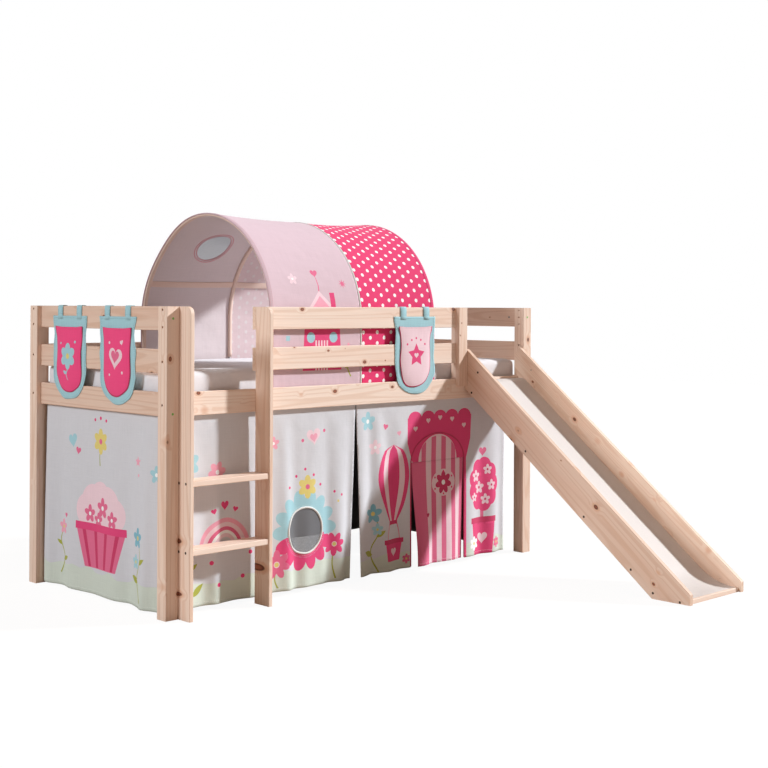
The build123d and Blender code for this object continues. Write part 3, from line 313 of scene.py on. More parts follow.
def knitted_net(name, thread_code, dull_code, open_share):
    """Polyester window net: fine threads 1 mm apart round small open holes, drawn 2.6 mm apart."""
    material, tree, shader = new_material(name)
    scaled = vectors(tree, "MULTIPLY", flat_place(tree), (1 / NET_PITCH, 1 / NET_PITCH, 1))
    cells = put(tree, "ShaderNodeTexVoronoi", {"Vector": scaled, "Scale": 1.0, "Randomness": 0.0},
                voronoi_dimensions="2D")
    hole = math.sqrt(open_share / math.pi)
    feed(shader, "Alpha", mapped(tree, cells.outputs["Distance"],
                                 (hole - NET_HOLE_BLUR, hole + NET_HOLE_BLUR)))
    tone = clouds(tree, scaled, 2.0, 0.5)
    feed(shader, "Base Color", blended(tree, tone, thread_code, dull_code))
    feed(shader, "Roughness", 0.6)
    return material


tunnel_net = knitted_net("grey_polyester_net", "#C4CDD4", "#AEB6BC", 0.34)
curtain_net = knitted_net("dark_polyester_net", "#6E6D70", "#838386", 0.20)


def speckled(name, code, speck_code, grain, share, roughness, metallic=0.0):
    """A hard surface whose colour and polish vary slightly in specks of one grain size."""
    material, tree, shader = new_material(name)
    fleck = clouds(tree, object_place(tree), 3.0, 1 / grain)
    mask = mapped(tree, fleck, (0.45, 0.75), (0.0, share))
    feed(shader, "Base Color", blended(tree, mask, code, speck_code))
    feed(shader, "Roughness", mapped(tree, fleck, (0.0, 1.0), (roughness - 0.06, roughness + 0.08),
                                     soft=False))
    feed(shader, "Normal", dented(tree, fleck, 0.2, 0.0002))
    feed(shader, "Metallic", metallic)
    return material


# Hardboard faced with white melamine: smooth, faintly speckled and satin under a soft lamp
white_melamine = speckled("white_melamine_board", "#E2D9D4", "#D8CEC9", 0.004, 0.5, 0.42)
# Zinc plated steel: grey metal, its plating slightly cloudy
zinc_steel = speckled("zinc_plated_steel", "#8F8A84", "#6E6A66", 0.003, 0.7, 0.38, metallic=1.0)
# Steel bolt heads deep in their holes, made near black as painted shade of the holes, so that they read as
# dark dots on the posts
bolt_steel_painted_shade = speckled("steel_painted_hole_shade", "#46403C", "#2A2624", 0.003, 0.6, 0.45, metallic=0.8)
# Bronzed zinc on the slide's and ladder's screws: they read as small dark dots in the wood
dark_steel = speckled("browned_zinc_steel", "#4A3A30", "#2C221C", 0.003, 0.7, 0.5, metallic=0.6)
# Moulded polythene plugs: plain green with a dull skin
green_polythene = speckled("moulded_green_polythene", "#7DBB5A", "#5F9A42", 0.006, 0.5, 0.5)
# Turned beech dowels: pinkish brown with fine flecks
beech = speckled("turned_beech", "#D9B08A", "#B98862", 0.002, 0.6, 0.6)
# Woven polypropylene webbing: white with coarse ribs
webbing = speckled("woven_white_webbing", "#E9E7E3", "#CFCCC6", 0.0015, 0.8, 0.7)
# Drawn glass-fibre rod: translucent white with a dull skin
rod_white = speckled("drawn_white_rod", "#ECEBE8", "#DAD8D2", 0.005, 0.5, 0.4)

node_materials = {
    pine_along_bed: ("back_guard_top", "back_guard_middle", "back_bed_rail", "front_bed_rail",
                     "front_guard_top", "front_guard_middle", "ladder_tread_lower",
                     "ladder_tread_upper", "slat_ledger_front", "slat_ledger_back",
                     "slide_battens", "slide_top_batten", "slide_foot_batten", "slide_end_strip"),
    pine_across_bed: ("left_end_plank_top", "left_end_plank_middle", "left_end_rail",
                      "right_end_plank_top", "right_end_plank_middle", "right_end_rail",
                      "bed_slats"),
    pine_upright: ("post_front_left", "post_back_left", "post_front_right", "post_back_right",
                   "guard_post", "ladder_rail_left", "ladder_rail_right"),
    pine_slide: ("slide_board_near",),
    pine_slide_far: ("slide_board_far",),
    white_melamine: ("slide_chute",),
    zinc_steel: ("barrel_nuts",),
    bolt_steel_painted_shade: ("frame_bolts",),
    dark_steel: ("ladder_screws", "slide_screws", "rail_screws"),
    green_polythene: ("bolt_plugs",),
    beech: ("dowels",),
    webbing: ("slat_straps", "curtain_tapes"),
    rod_white: ("tunnel_hoops",),
}
for material, names in node_materials.items():
    for name in names:
        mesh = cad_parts[name].data
        mesh.materials.clear()
        mesh.materials.append(material)


# Outlines for prints

def turned(points, u, v, degrees):
    """Points round 0, 0, turned by that many degrees and moved to u, v."""
    lean = math.radians(degrees)
    return [(u + a * math.cos(lean) - b * math.sin(lean), v + a * math.sin(lean) + b * math.cos(lean))
            for a, b in points]


def spoke(u, v, reach, degrees, rise=None):
    """The place that lies reach away from u, v in one direction, rise away if upwards differs."""
    angle = math.radians(degrees)
    return u + reach * math.cos(angle), v + (reach if rise is None else rise) * math.sin(angle)


def oval(u, v, wide, tall=None, turn=0.0, count=28):
    """An ellipse wide by tall, turned by turn degrees."""
    tall = wide if tall is None else tall
    angles = [2 * math.pi * step / count for step in range(count)]
    return turned([(wide / 2 * math.cos(a), tall / 2 * math.sin(a)) for a in angles], u, v, turn)


def dot(u, v, size):
    return oval(u, v, size, count=12)


def heart(u, v, size, turn=0.0):
    """A heart, size across."""
    points = []
    for step in range(26):
        t = 2 * math.pi * step / 26
        a = size / 32 * 16 * math.sin(t) ** 3
        b = size / 32 * (13 * math.cos(t) - 5 * math.cos(2 * t) - 2 * math.cos(3 * t) - math.cos(4 * t))
        points.append((a, b))
    return turned(points, u, v, turn)


def star(u, v, radius, tips=5, inner=0.45, turn=90.0):
    """A star with rounded hollows."""
    points = []
    for step in range(2 * tips):
        angle = math.radians(turn) + math.pi * step / tips
        reach = radius if step % 2 == 0 else radius * inner
        points.append((u + reach * math.cos(angle), v + reach * math.sin(angle)))
    return points


def leaf(u, v, length, width, turn):
    """A pointed leaf whose foot is at u, v."""
    points = []
    for side in (1, -1):
        for step in range(9):
            share = step / 9 if side == 1 else 1 - step / 9
            a = length * share
            b = side * width / 2 * math.sin(math.pi * share ** 0.85)
            points.append((a, b))
    return turned(points, u, v, turn)


def box(low_u, low_v, high_u, high_v):
    return [(low_u, low_v), (high_u, low_v), (high_u, high_v), (low_u, high_v)]


def vine(points, width):
    """A stem of that width through the points, thinner towards its end."""
    path = [Vector(p) for p in points]
    fine = []
    for index in range(len(path) - 1):
        before = path[max(0, index - 1)]
        after = path[min(len(path) - 1, index + 2)]
        for step in range(6):
            t = step / 6
            a, b = path[index], path[index + 1]
            fine.append(0.5 * ((2 * a) + (b - before) * t + (2 * before - 5 * a + 4 * b - after) * t * t
                               + (3 * a - before - 3 * b + after) * t ** 3))
    fine.append(path[-1])
    left, right = [], []
    for index, place in enumerate(fine):
        ahead = fine[min(len(fine) - 1, index + 1)] - fine[max(0, index - 1)]
        normal = Vector((-ahead.y, ahead.x)).normalized() * width / 2 * (1 - 0.55 * index / len(fine))
        left.append(tuple(place + normal))
        right.append(tuple(place - normal))
    return left + right[::-1]


def bloom(u, v, size, petal, eye, petals=5, turn=90.0, plump=0.42):
    """A simple round-petalled flower."""
    shapes = []
    for step in range(petals):
        angle = turn + 360 * step / petals
        reach = size * 0.27
        shapes.append((oval(*spoke(u, v, reach, angle), size * 0.46, size * plump * 0.75, angle, 16), petal))
    shapes.append((oval(u, v, size * 0.22, count=14), eye))
    return shapes


# Colours of the prints, as they look in white light
OFF_WHITE = "#D4D2D5"
MEADOW = "#D2D8CA"
YELLOW = "#E2CD76"
HOT_PINK = "#E23E76"
DEEP_PINK = "#C9305F"
POUCH_PINK = "#F2447F"
MID_PINK = "#E2688C"
SOFT_PINK = "#EFA3B5"
PALE_PINK = "#F0CFD5"
SKY = "#A3CCD4"
DEEP_SKY = "#7DB4C3"
OLIVE = "#A6A83F"
TUNNEL_PINK = "#D7BAC1"
DOT_PINK = "#E02666"
WHITE = "#F7F5F2"


# Cloth, ribbons and trim

def cut_cloth(outline, motifs, base, spacing, holes=()):
    """A flat cloth as points, triangles and each triangle's colour.

    Later motifs lie over earlier ones. The triangles' edges follow every motif's outline.
    """
    points, faces = [], []

    def ring(shape, longest):
        start = len(points)
        turns = sum(a[0] * b[1] - b[0] * a[1] for a, b in zip(shape, shape[1:] + shape[:1]))
        if turns < 0:
            shape = shape[::-1]
        for index, place in enumerate(shape):
            ahead = shape[(index + 1) % len(shape)]
            length = math.dist(place, ahead)
            parts = max(1, math.ceil(length / longest))
            for part in range(parts):
                share = part / parts
                points.append((place[0] + (ahead[0] - place[0]) * share,
                               place[1] + (ahead[1] - place[1]) * share))
        faces.append(list(range(start, len(points))))

    ring(outline, spacing)
    colours = [base]
    for shape, code in motifs:
        ring(shape, spacing)
        colours.append(code)
    for shape in holes:
        ring(shape, spacing / 2)
        colours.append(None)
    low_u, high_u = min(p[0] for p in outline), max(p[0] for p in outline)
    low_v, high_v = min(p[1] for p in outline), max(p[1] for p in outline)
    rows = int((high_v - low_v) / (spacing * 0.87))
    for row in range(1, rows):
        v = low_v + (high_v - low_v) * row / rows
        shift = 0.5 * spacing if row % 2 else 0.0
        u = low_u + spacing * 0.5 + shift
        while u < high_u - spacing * 0.4:
            points.append((u, v))
            u += spacing
    out_points, _, out_faces, _, _, origins = delaunay_2d_cdt(
        [Vector(p) for p in points], [], faces, 1, 0.02, True)
    triangles, inks = [], []
    for face, origin in zip(out_faces, origins):
        if 0 not in origin:
            continue
        top = max(origin)
        if colours[top] is None:
            continue
        triangles.append(face)
        inks.append(colours[top])
    return [tuple(p) for p in out_points], triangles, inks


def mesh_piece(name, points, faces, materials, flats=None, inks=None):
    """A new mesh object in the frame, with its flat pattern as a UV map and its print."""
    mesh = bpy.data.meshes.new(name)
    mesh.from_pydata([tuple(p) for p in points], [], faces)
    for material in materials:
        mesh.materials.append(material)
    if flats is not None:
        layer = mesh.uv_layers.new(name="flat")
        loops = np.empty(len(mesh.loops), np.int32)
        mesh.loops.foreach_get("vertex_index", loops)
        table = np.array(flats, np.float32)[:, :2] * MM
        layer.data.foreach_set("uv", table[loops].ravel())
    if inks is not None:
        layer = mesh.color_attributes.new("print", "FLOAT_COLOR", "CORNER")
        known = {code: colour(code) for code in set(inks)}
        values = np.array([known[code] for code in inks], np.float32)
        corners = np.repeat(values, [len(face) for face in faces], axis=0)
        layer.data.foreach_set("color", corners.ravel())
    mesh.shade_smooth()
    mesh.update()
    piece = bpy.data.objects.new(name, mesh)
    bpy.context.scene.collection.objects.link(piece)
    return piece


def settle(piece):
    """Apply a piece's modifiers to its mesh."""
    bpy.context.view_layer.update()
    evaluated = piece.evaluated_get(bpy.context.evaluated_depsgraph_get())
    mesh = bpy.data.meshes.new_from_object(evaluated, preserve_all_data_layers=True,
                                           depsgraph=bpy.context.evaluated_depsgraph_get())
    piece.modifiers.clear()
    old = piece.data
    piece.data = mesh
    bpy.data.meshes.remove(old)
    mesh.name = piece.name
    mesh.shade_smooth()
    return piece


def sewn_cloth(name, cut, fold, face_material, back_material, thickness=1.4):
    """Hang a cut cloth by its fold, give it its thickness inwards and a reverse side."""
    flats, triangles, inks = cut
    places = [fold(u, v) for u, v in flats]
    piece = mesh_piece(name, places, triangles, [face_material, back_material], flats, inks)
    wall = piece.modifiers.new("cloth", "SOLIDIFY")
    wall.thickness = thickness * MM
    wall.offset = -1.0
    wall.material_offset = 1
    wall.material_offset_rim = 0
    wall.use_even_offset = False
    return settle(piece)


def ribbon(name, spine, width, lift, material):
    """A flat band along a spine of (place, across, outwards), with slightly rounded edges."""
    half = width / 2 * MM
    rise = lift * MM
    profile = ((-half, 0.0), (-half, rise * 0.5), (-half * 0.8, rise), (half * 0.8, rise),
               (half, rise * 0.5), (half, 0.0))
    points, flats, faces = [], [], []
    run = 0.0
    for index, (place, across, outwards) in enumerate(spine):
        if index:
            run += (place - spine[index - 1][0]).length / MM
        for a, b in profile:
            points.append(place + across * a + outwards * b)
            flats.append((a / MM, run))
    count = len(profile)
    total = len(spine)
    for row in range(total - 1):
        for side in range(count):
            a = row * count + side
            b = row * count + (side + 1) % count
            c = (row + 1) * count + (side + 1) % count
            d = (row + 1) * count + side
            faces.append((a, b, c, d))
    faces.append(tuple(range(count))[::-1])
    faces.append(tuple((total - 1) * count + side for side in range(count)))
    piece = mesh_piece(name, points, faces, [material], flats)
    outward_faces(piece)
    return piece


def outward_faces(piece):
    """Turn a closed mesh's faces outwards."""
    work = bmesh.new()
    work.from_mesh(piece.data)
    bmesh.ops.recalc_face_normals(work, faces=work.faces)
    work.to_mesh(piece.data)
    work.free()


def build_trim_tree(name, stitched):
    """Geometry nodes for trim along a piece's edges: round piping, or a row of stitches."""
    tree = bpy.data.node_groups.new(name, "GeometryNodeTree")
    sockets = {}
    tree.interface.new_socket("Geometry", in_out="INPUT", socket_type="NodeSocketGeometry")
    for label, kind in (("Thickness", "NodeSocketFloat"), ("Length", "NodeSocketFloat"),
                        ("Spacing", "NodeSocketFloat"), ("Material", "NodeSocketMaterial")):
        sockets[label] = tree.interface.new_socket(label, in_out="INPUT", socket_type=kind).identifier
    tree.interface.new_socket("Geometry", in_out="OUTPUT", socket_type="NodeSocketGeometry")
    given = put(tree, "NodeGroupInput")
    line = put(tree, "GeometryNodeMeshToCurve", {"Mesh": given.outputs["Geometry"]})
    line = put(tree, "GeometryNodeResampleCurve",
               {"Curve": line.outputs[0], "Length": given.outputs["Spacing"]}, mode="LENGTH")
    if stitched:
        bead = put(tree, "GeometryNodeMeshIcoSphere", {"Radius": 0.5, "Subdivisions": 1})
        size = put(tree, "ShaderNodeCombineXYZ", {0: given.outputs["Thickness"],
                                                  1: given.outputs["Thickness"],
                                                  2: given.outputs["Length"]})
        tangent = put(tree, "GeometryNodeInputTangent")
        turn = put(tree, "FunctionNodeAlignRotationToVector", {"Vector": tangent.outputs[0]}, axis="Z")
        made = put(tree, "GeometryNodeInstanceOnPoints",
                   {"Points": line.outputs[0], "Instance": bead.outputs[0], "Rotation": turn.outputs[0],
                    "Scale": size.outputs[0]})
        made = put(tree, "GeometryNodeRealizeInstances", {0: made.outputs[0]})
    else:
        loop = put(tree, "GeometryNodeCurvePrimitiveCircle",
                   {"Resolution": 8, "Radius": given.outputs["Thickness"]})
        made = put(tree, "GeometryNodeCurveToMesh", {"Curve": line.outputs[0],
                                                     "Profile Curve": loop.outputs[0],
                                                     "Fill Caps": True})
        made = put(tree, "GeometryNodeRealizeInstances", {0: made.outputs[0]})
    made = put(tree, "GeometryNodeSetMaterial", {"Geometry": made.outputs[0],
                                                 "Material": given.outputs["Material"]})
    put(tree, "NodeGroupOutput", {0: made.outputs[0]})
    return tree, sockets


stitch_tree, stitch_sockets = build_trim_tree("row_of_stitches", True)
piping_tree, piping_sockets = build_trim_tree("round_piping", False)


def trim(name, lines, material, tree, sockets, thickness, length, spacing):
    """One mesh of piping or stitches along the lines, each a list of places."""
    points, edges = [], []
    for line in lines:
        start = len(points)
        points.extend(line)
        edges.extend((start + i, start + i + 1) for i in range(len(line) - 1))
    mesh = bpy.data.meshes.new(name)
    mesh.from_pydata([tuple(p) for p in points], edges, [])
    piece = bpy.data.objects.new(name, mesh)
    bpy.context.scene.collection.objects.link(piece)
    worker = piece.modifiers.new("trim", "NODES")
    worker.node_group = tree
    for label, value in (("Thickness", thickness * MM), ("Length", length * MM), ("Spacing", spacing * MM),
                         ("Material", material)):
        worker[sockets[label]] = value
    settle(piece)
    if not piece.data.uv_layers:
        layer = piece.data.uv_layers.new(name="flat")
        layer.active = True
    return piece


def stitches(name, lines, material, length=5.0, spacing=7.5, thickness=1.3):
    return trim(name, lines, material, stitch_tree, stitch_sockets, thickness, length, spacing)


def piping(name, lines, material, radius, spacing=12.0):
    return trim(name, lines, material, piping_tree, piping_sockets, radius, 1.0, spacing)


# Curtains

# The curtains' top edges, and the face that each cloth hangs from
TOP = 759.0
FRONT_CLOTH = 39.8
LEFT_CLOTH = 39.8
BACK_CLOTH = 940.2
RIGHT_CLOTH = 2035.2
# Where the headings' folds are measured from, below the tapes
HEADING = 730.0
# The middle of the front left curtain's round window, across and up
ROUND_WINDOW = (704, 250)


def ripple(u, v, hem, folds, calm=0.0):
    """How far a hanging cloth stands proud at u, v.

    Each fold is its place at the heading, how far that has moved at the hem, its width, and its
    depth at the hem.
    """
    drop = ease(HEADING - v, 0.0, HEADING - hem)
    linear = min(1.0, max(0.0, (HEADING - v) / (HEADING - hem)))
    proud = 0.0
    for place, lean, width, depth in folds:
        rise = 0.25 * ease(linear, 0.0, 0.12) + 0.75 * drop
        proud += depth * rise * hump(u, place + lean * linear, width)
    loose = noise.noise(Vector((u / 95.0, v / 330.0, hem))) * 2.2 * ease(linear, 0.02, 0.25)
    return proud + loose + calm * drop


front_left_folds = (
    (95, -8, 42, 9), (190, 10, 40, -8), (262, -6, 30, 9), (345, 12, 48, -7), (430, 0, 40, 8),
    (520, 14, 36, -8), (590, 26, 26, 9), (640, 20, 30, -7), (762, -60, 36, 7), (818, 20, 28, -8),
    (880, 16, 36, 10), (955, -14, 26, -13),
)
front_right_folds = (
    (1012, 2, 30, 13), (1062, 26, 24, -11), (1100, 74, 30, 11), (1150, 110, 34, -9),
    (1236, 60, 40, 8), (1330, 0, 46, -5), (1420, 8, 60, 4), (1560, 0, 60, 4), (1690, -8, 44, 8),
    (1762, 10, 34, -9), (1835, 12, 38, 10), (1915, -6, 30, -8),
)
left_end_folds = (
    (-880, 8, 34, 12), (-800, 14, 44, -9), (-690, -12, 60, 8), (-560, 10, 64, -6),
    (-420, 8, 60, 7), (-300, -14, 46, -13), (-180, -8, 40, 21), (-85, 6, 36, -9),
)


def front_left_fold(u, v):
    return at(u, FRONT_CLOTH - 0.3 - ripple(u, v, 20.0, front_left_folds), v)


def front_right_fold(u, v):
    """The cloth lies flat along the doorway's head, where the flap is sewn on."""
    doorway = ease(u, 1270, 1325) * (1 - ease(u, 1635, 1690))
    near = 1 - (ease(v - 474, 0, 100) if v > 474 else ease(474 - v, 0, 150))
    return at(u, FRONT_CLOTH - 0.3 - ripple(u, v, 20.0, front_right_folds) * (1 - doorway * near), v)


def left_end_fold(u, v):
    lean = 12 * ease(HEADING - v, 40, 700) * ease(-u, 760, 905)
    return at(LEFT_CLOTH - 0.3 - ripple(u, v, 8.0, left_end_folds), -u + lean, v)


def back_fold(u, v):
    return at(-u, BACK_CLOTH + ripple(u, v, 21.0, tuple((-place, 10, 52, 6 * (-1) ** (place // 130))
                                                       for place in range(120, 2000, 130))), v)


def right_end_fold(u, v):
    return at(RIGHT_CLOTH + ripple(u, v, 9.0, ((190, 0, 40, 6), (320, 10, 60, -6), (470, 0, 60, 7),
                                               (640, -10, 60, -6), (800, 10, 50, 7))), u, v)


def meadow(low_u, high_u, foot, height, seed):
    """A pale green band along the hem with a soft wavy top."""
    chance = random.Random(seed)
    points = [(low_u, foot), (high_u, foot)]
    steps = 16
    for step in range(steps + 1):
        share = step / steps
        points.append((high_u + (low_u - high_u) * share, foot + height * (0.85 + 0.3 * chance.random())))
    return [(points, MEADOW)]


def sprig(u, v, height, side, flower, eye):
    """A stem with two leaves, a curled tendril and a flower."""
    top = (u + side * height * 0.12, v + height)
    stem = ((u, v), (u + side * height * 0.16, v + height * 0.35), (u, v + height * 0.7), top)
    shapes = [(vine(stem, 7), OLIVE)]
    for out, up, length, width, turn in ((0.12, 0.3, 0.24, 0.1, 20), (0.05, 0.6, 0.2, 0.08, 150)):
        lean = turn if side > 0 else 180 - turn
        foot = (u + side * height * out, v + height * up)
        shapes.append((leaf(*foot, height * length, height * width, lean), OLIVE))
    shapes.extend(bloom(top[0], top[1], height * 0.34, flower, eye))
    return shapes


def flowerpot(u, v, width, height):
    """A wide striped pot with a round bush in bloom."""
    shapes = []
    top_half, foot_half = width / 2, width * 0.34
    for lobe in range(5):
        angle = math.radians(20 + 35 * lobe)
        shapes.append((oval(u + width * 0.3 * math.cos(angle),
                            v + height * 1.32 + width * 0.24 * math.sin(angle),
                            width * 0.46, width * 0.42), PALE_PINK))
    shapes.append((oval(u, v + height * 1.35, width * 0.7, width * 0.5), PALE_PINK))
    for place, size in (((-0.24, 1.42), 0.14), ((0.05, 1.62), 0.16), ((0.27, 1.36), 0.13),
                        ((-0.05, 1.28), 0.12)):
        cu, cv = u + width * place[0], v + height * place[1]
        shapes.extend(bloom(cu, cv, width * size * 1.6, MID_PINK, WHITE))
    shapes.append(([(u - foot_half, v), (u + foot_half, v), (u + top_half, v + height),
                    (u - top_half, v + height)], MID_PINK))
    for stripe in (-0.36, -0.12, 0.13, 0.37):
        foot = u + width * stripe * 0.68
        head = u + width * stripe
        shapes.append(([(foot - 7, v + 3), (foot + 9, v + 3), (head + 12, v + height - 2),
                        (head - 10, v + height - 2)], DEEP_PINK))
    shapes.append((box(u - top_half - 8, v + height - 4, u + top_half + 8, v + height + 26), HOT_PINK))
    return shapes


def left_end_print():
    shapes = meadow(-906, -58, 5, 96, 3)
    shapes += [(vine(((-505, 520), (-508, 560), (-500, 590)), 6), OLIVE)]
    shapes += flowerpot(-500, 112, 330, 150)
    shapes += bloom(-500, 616, 104, YELLOW, MID_PINK, petals=6)
    for u, v, size in ((-540, 700, 13), (-500, 708, 15), (-460, 700, 13)):
        shapes.append((dot(u, v, size), HOT_PINK))
    shapes += [(heart(-700, 610, 62, 12), SKY), (heart(-660, 570, 34, -10), MID_PINK)]
    shapes += [(star(-238, 560, 22), SOFT_PINK), (dot(-232, 508, 12), SOFT_PINK)]
    shapes += sprig(-800, 60, 190, 1, SOFT_PINK, YELLOW)
    shapes += [(heart(-752, 300, 24), MID_PINK)]
    shapes += sprig(-205, 30, 240, -1, DEEP_SKY, YELLOW)
    shapes += bloom(-252, 178, 60, SKY, YELLOW)
    shapes += sprig(-98, 50, 150, 1, SOFT_PINK, YELLOW)
    shapes += bloom(-118, 520, 70, SKY, WHITE)
    return shapes


def rainbow(u, v, radius):
    shapes = []
    for share, code in ((1.0, SOFT_PINK), (0.86, PALE_PINK), (0.72, MID_PINK), (0.6, WHITE), (0.5, PALE_PINK),
                        (0.38, OFF_WHITE)):
        shapes.append(([(u + radius * share * math.cos(math.pi * s / 22),
                         v + radius * share * math.sin(math.pi * s / 22))
                        for s in range(23)], code))
    return shapes


def front_left_print():
    shapes = meadow(58, 984, 15, 92, 5)
    shapes += bloom(128, 560, 108, SKY, WHITE, petals=6)
    shapes += bloom(262, 520, 84, SOFT_PINK, WHITE, petals=6, turn=70)
    shapes += rainbow(300, 225, 118)
    shapes += [(heart(300, 392, 40), HOT_PINK), (heart(246, 372, 24, 14), HOT_PINK),
               (heart(354, 372, 24, -14), HOT_PINK)]
    shapes += sprig(150, 42, 200, -1, SOFT_PINK, YELLOW)
    shapes += [(leaf(150, 60, 70, 26, 40), OLIVE)]
    for u, v in ((236, 178), (268, 92), (388, 110), (420, 200)):
        shapes.append((dot(u, v, 17), HOT_PINK))
    # A large daisy round the window: sky petals above, pink ones below
    for step in range(14):
        angle = -90 + 360 * (step + 0.5) / 14
        code = SKY if math.sin(math.radians(angle)) > -0.12 else HOT_PINK
        shapes.append((oval(*spoke(*ROUND_WINDOW, 118, angle), 92, 58, angle, 20), code))
    shapes.append((oval(*ROUND_WINDOW, 218), SKY))
    shapes.append(([spoke(*ROUND_WINDOW, 108, a) for a in range(190, 351, 8)], HOT_PINK))
    for u, v, size, turn, code in ((560, 128, 118, 90, MID_PINK), (862, 176, 100, 60, HOT_PINK)):
        shapes.append((vine(((u + 6, 34), (u - 8, v * 0.55), (u, v)), 7), OLIVE))
        shapes += bloom(u, v, size, code, PALE_PINK, petals=7, turn=turn, plump=0.34)
        shapes.append((dot(u, v, size * 0.16), YELLOW))
    shapes += bloom(716, 424, 96, YELLOW, MID_PINK, petals=6)
    for u, v in ((622, 428), (660, 470), (748, 470), (786, 428), (704, 496)):
        shapes.append((dot(u, v, 12), HOT_PINK))
    shapes += [(heart(748, 628, 74, 8), PALE_PINK), (heart(748, 622, 40, 8), SOFT_PINK),
               (oval(806, 646, 14), MID_PINK),
               (oval(690, 612, 14), MID_PINK)]
    for u, v, code in ((862, 392, HOT_PINK), (900, 376, HOT_PINK), (880, 352, YELLOW)):
        shapes.append((dot(u, v, 11), code))
    shapes += bloom(540, 610, 56, SOFT_PINK, WHITE)
    return shapes


def balloon(u, low, wide, neck, top):
    """A hot pink balloon with pale gores over a small basket with a heart."""
    def gore(share):
        points = []
        for side in (1, -1):
            for step in range(15):
                fall = step / 14 if side == 1 else 1 - step / 14
                if fall < 0.42:
                    half = wide / 2 * math.sqrt(1 - (1 - fall / 0.42) ** 2)
                else:
                    half = wide / 2 * (1 - 0.76 * ((fall - 0.42) / 0.58) ** 1.5)
                points.append((u + side * max(0.6, share * half), top - (top - neck) * fall))
        return points

    shapes = [(vine(((u - 22, neck + 6), (u - 34, neck - 30), (u - 44, low + 78)), 5), MID_PINK),
              (vine(((u + 22, neck + 6), (u + 34, neck - 30), (u + 44, low + 78)), 5), MID_PINK)]
    for share, code in ((1.0, HOT_PINK), (0.68, PALE_PINK), (0.34, HOT_PINK)):
        shapes.append((gore(share), code))
    shapes.append((box(u - 27, neck - 8, u + 27, neck + 8), DEEP_PINK))
    shapes.append(([(u - 42, low), (u + 42, low), (u + 54, low + 84), (u - 54, low + 84)], HOT_PINK))
    shapes.append((box(u - 60, low + 74, u + 60, low + 94), DEEP_PINK))
    shapes.append((heart(u, low + 40, 40), PALE_PINK))
    return shapes


def potted_tree(u, low, width, height):
    """A round-headed tree in bloom, in a hot pink tub."""
    half, foot = width / 2, width * 0.38
    shapes = [(box(u - 9, low + height - 6, u + 9, low + height + 70), MID_PINK)]
    shapes.append(([(u - foot, low), (u + foot, low), (u + half, low + height), (u - half, low + height)],
                   HOT_PINK))
    shapes.append((box(u - half - 8, low + height - 4, u + half + 8, low + height + 22), DEEP_PINK))
    shapes.append((heart(u, low + height * 0.52, 58), PALE_PINK))
    middle = low + height + 172
    for lobe in range(9):
        angle = math.radians(40 * lobe)
        shapes.append((oval(u + 58 * math.cos(angle), middle + 82 * math.sin(angle), 82, 88), HOT_PINK))
    shapes.append((oval(u, middle, 130, 170), HOT_PINK))
    for du, dv, size in ((-46, 40, 44), (30, 66, 38), (52, -6, 40), (-20, -14, 46), (-58, -56, 34),
                         (18, -70, 40)):
        shapes.extend(bloom(u + du, middle + dv, size * 1.3, PALE_PINK, DEEP_PINK))
    shapes.append((heart(u, middle + 152, 46), MID_PINK))
    return shapes


DOOR_STRIPES = ((1376, 1404), (1438, 1468), (1502, 1532), (1566, 1594))


def front_right_print():
    shapes = meadow(980, 1934, 15, 78, 8)
    shapes += bloom(1052, 668, 84, SKY, WHITE)
    shapes += bloom(1094, 556, 68, PALE_PINK, WHITE)
    shapes += balloon(1206, 62, 190, 226, 560)
    shapes += [(heart(1158, 640, 30, -12), MID_PINK), (heart(1236, 608, 24, 10), SOFT_PINK)]
    shapes += potted_tree(1782, 18, 150, 150)
    # A garden gate: a broad hot pink hood with a scalloped top over the doorway
    shapes.append(([(1322, 18), (1664, 18), (1664, 470), (1692, 560), (1698, 668), (1290, 668), (1288, 560),
                    (1322, 470)], HOT_PINK))
    for u in (1336, 1418, 1494, 1570, 1652):
        shapes.append((oval(u, 664, 84, 64), HOT_PINK))
    for u, v in ((1340, 620), (1418, 652), (1494, 662), (1572, 652), (1650, 620)):
        shapes.append((heart(u, v, 26), PALE_PINK))
    shapes += sprig(1120, 24, 250, -1, DEEP_SKY, YELLOW)
    shapes += bloom(1112, 206, 54, SKY, YELLOW)
    shapes += bloom(1284, 62, 44, MID_PINK, YELLOW, petals=6)
    shapes += bloom(1722, 74, 66, WHITE, YELLOW, petals=6)
    shapes += bloom(1872, 66, 54, MID_PINK, YELLOW, petals=6)
    # The door cloth under the hood, in stripes
    head = [spoke(1480, 475, 122, a, 114) for a in range(0, 181, 9)]
    shapes.append(([(1602, 474)] + head + [(1358, 474)], PALE_PINK))
    for low, high in DOOR_STRIPES:
        top = []
        for u in (high, (low + high) / 2, low):
            top.append((u, 475 + 108 * math.sqrt(max(0.0, 1 - ((u - 1480) / 124) ** 2))))
        shapes.append(([(low, 474), (high, 474)] + top, MID_PINK))
    return shapes


def back_print():
    shapes = meadow(-2018, -57, 15, 88, 11)
    for place in range(180, 1960, 250):
        tall = 150 + (place * 7) % 90
        shapes += sprig(-place, 60, tall, 1 if place % 500 < 250 else -1,
                        (SOFT_PINK, DEEP_SKY, MID_PINK)[place // 250 % 3], YELLOW)
        shapes.append((heart(-place - 90, 420 + (place * 3) % 170, 44, place % 30 - 15),
                       (MID_PINK, SKY, SOFT_PINK)[place // 250 % 3]))
        shapes += bloom(-place - 30, 600 - (place * 5) % 120, 70,
                        (SKY, SOFT_PINK, PALE_PINK)[place // 250 % 3], WHITE)
    return shapes


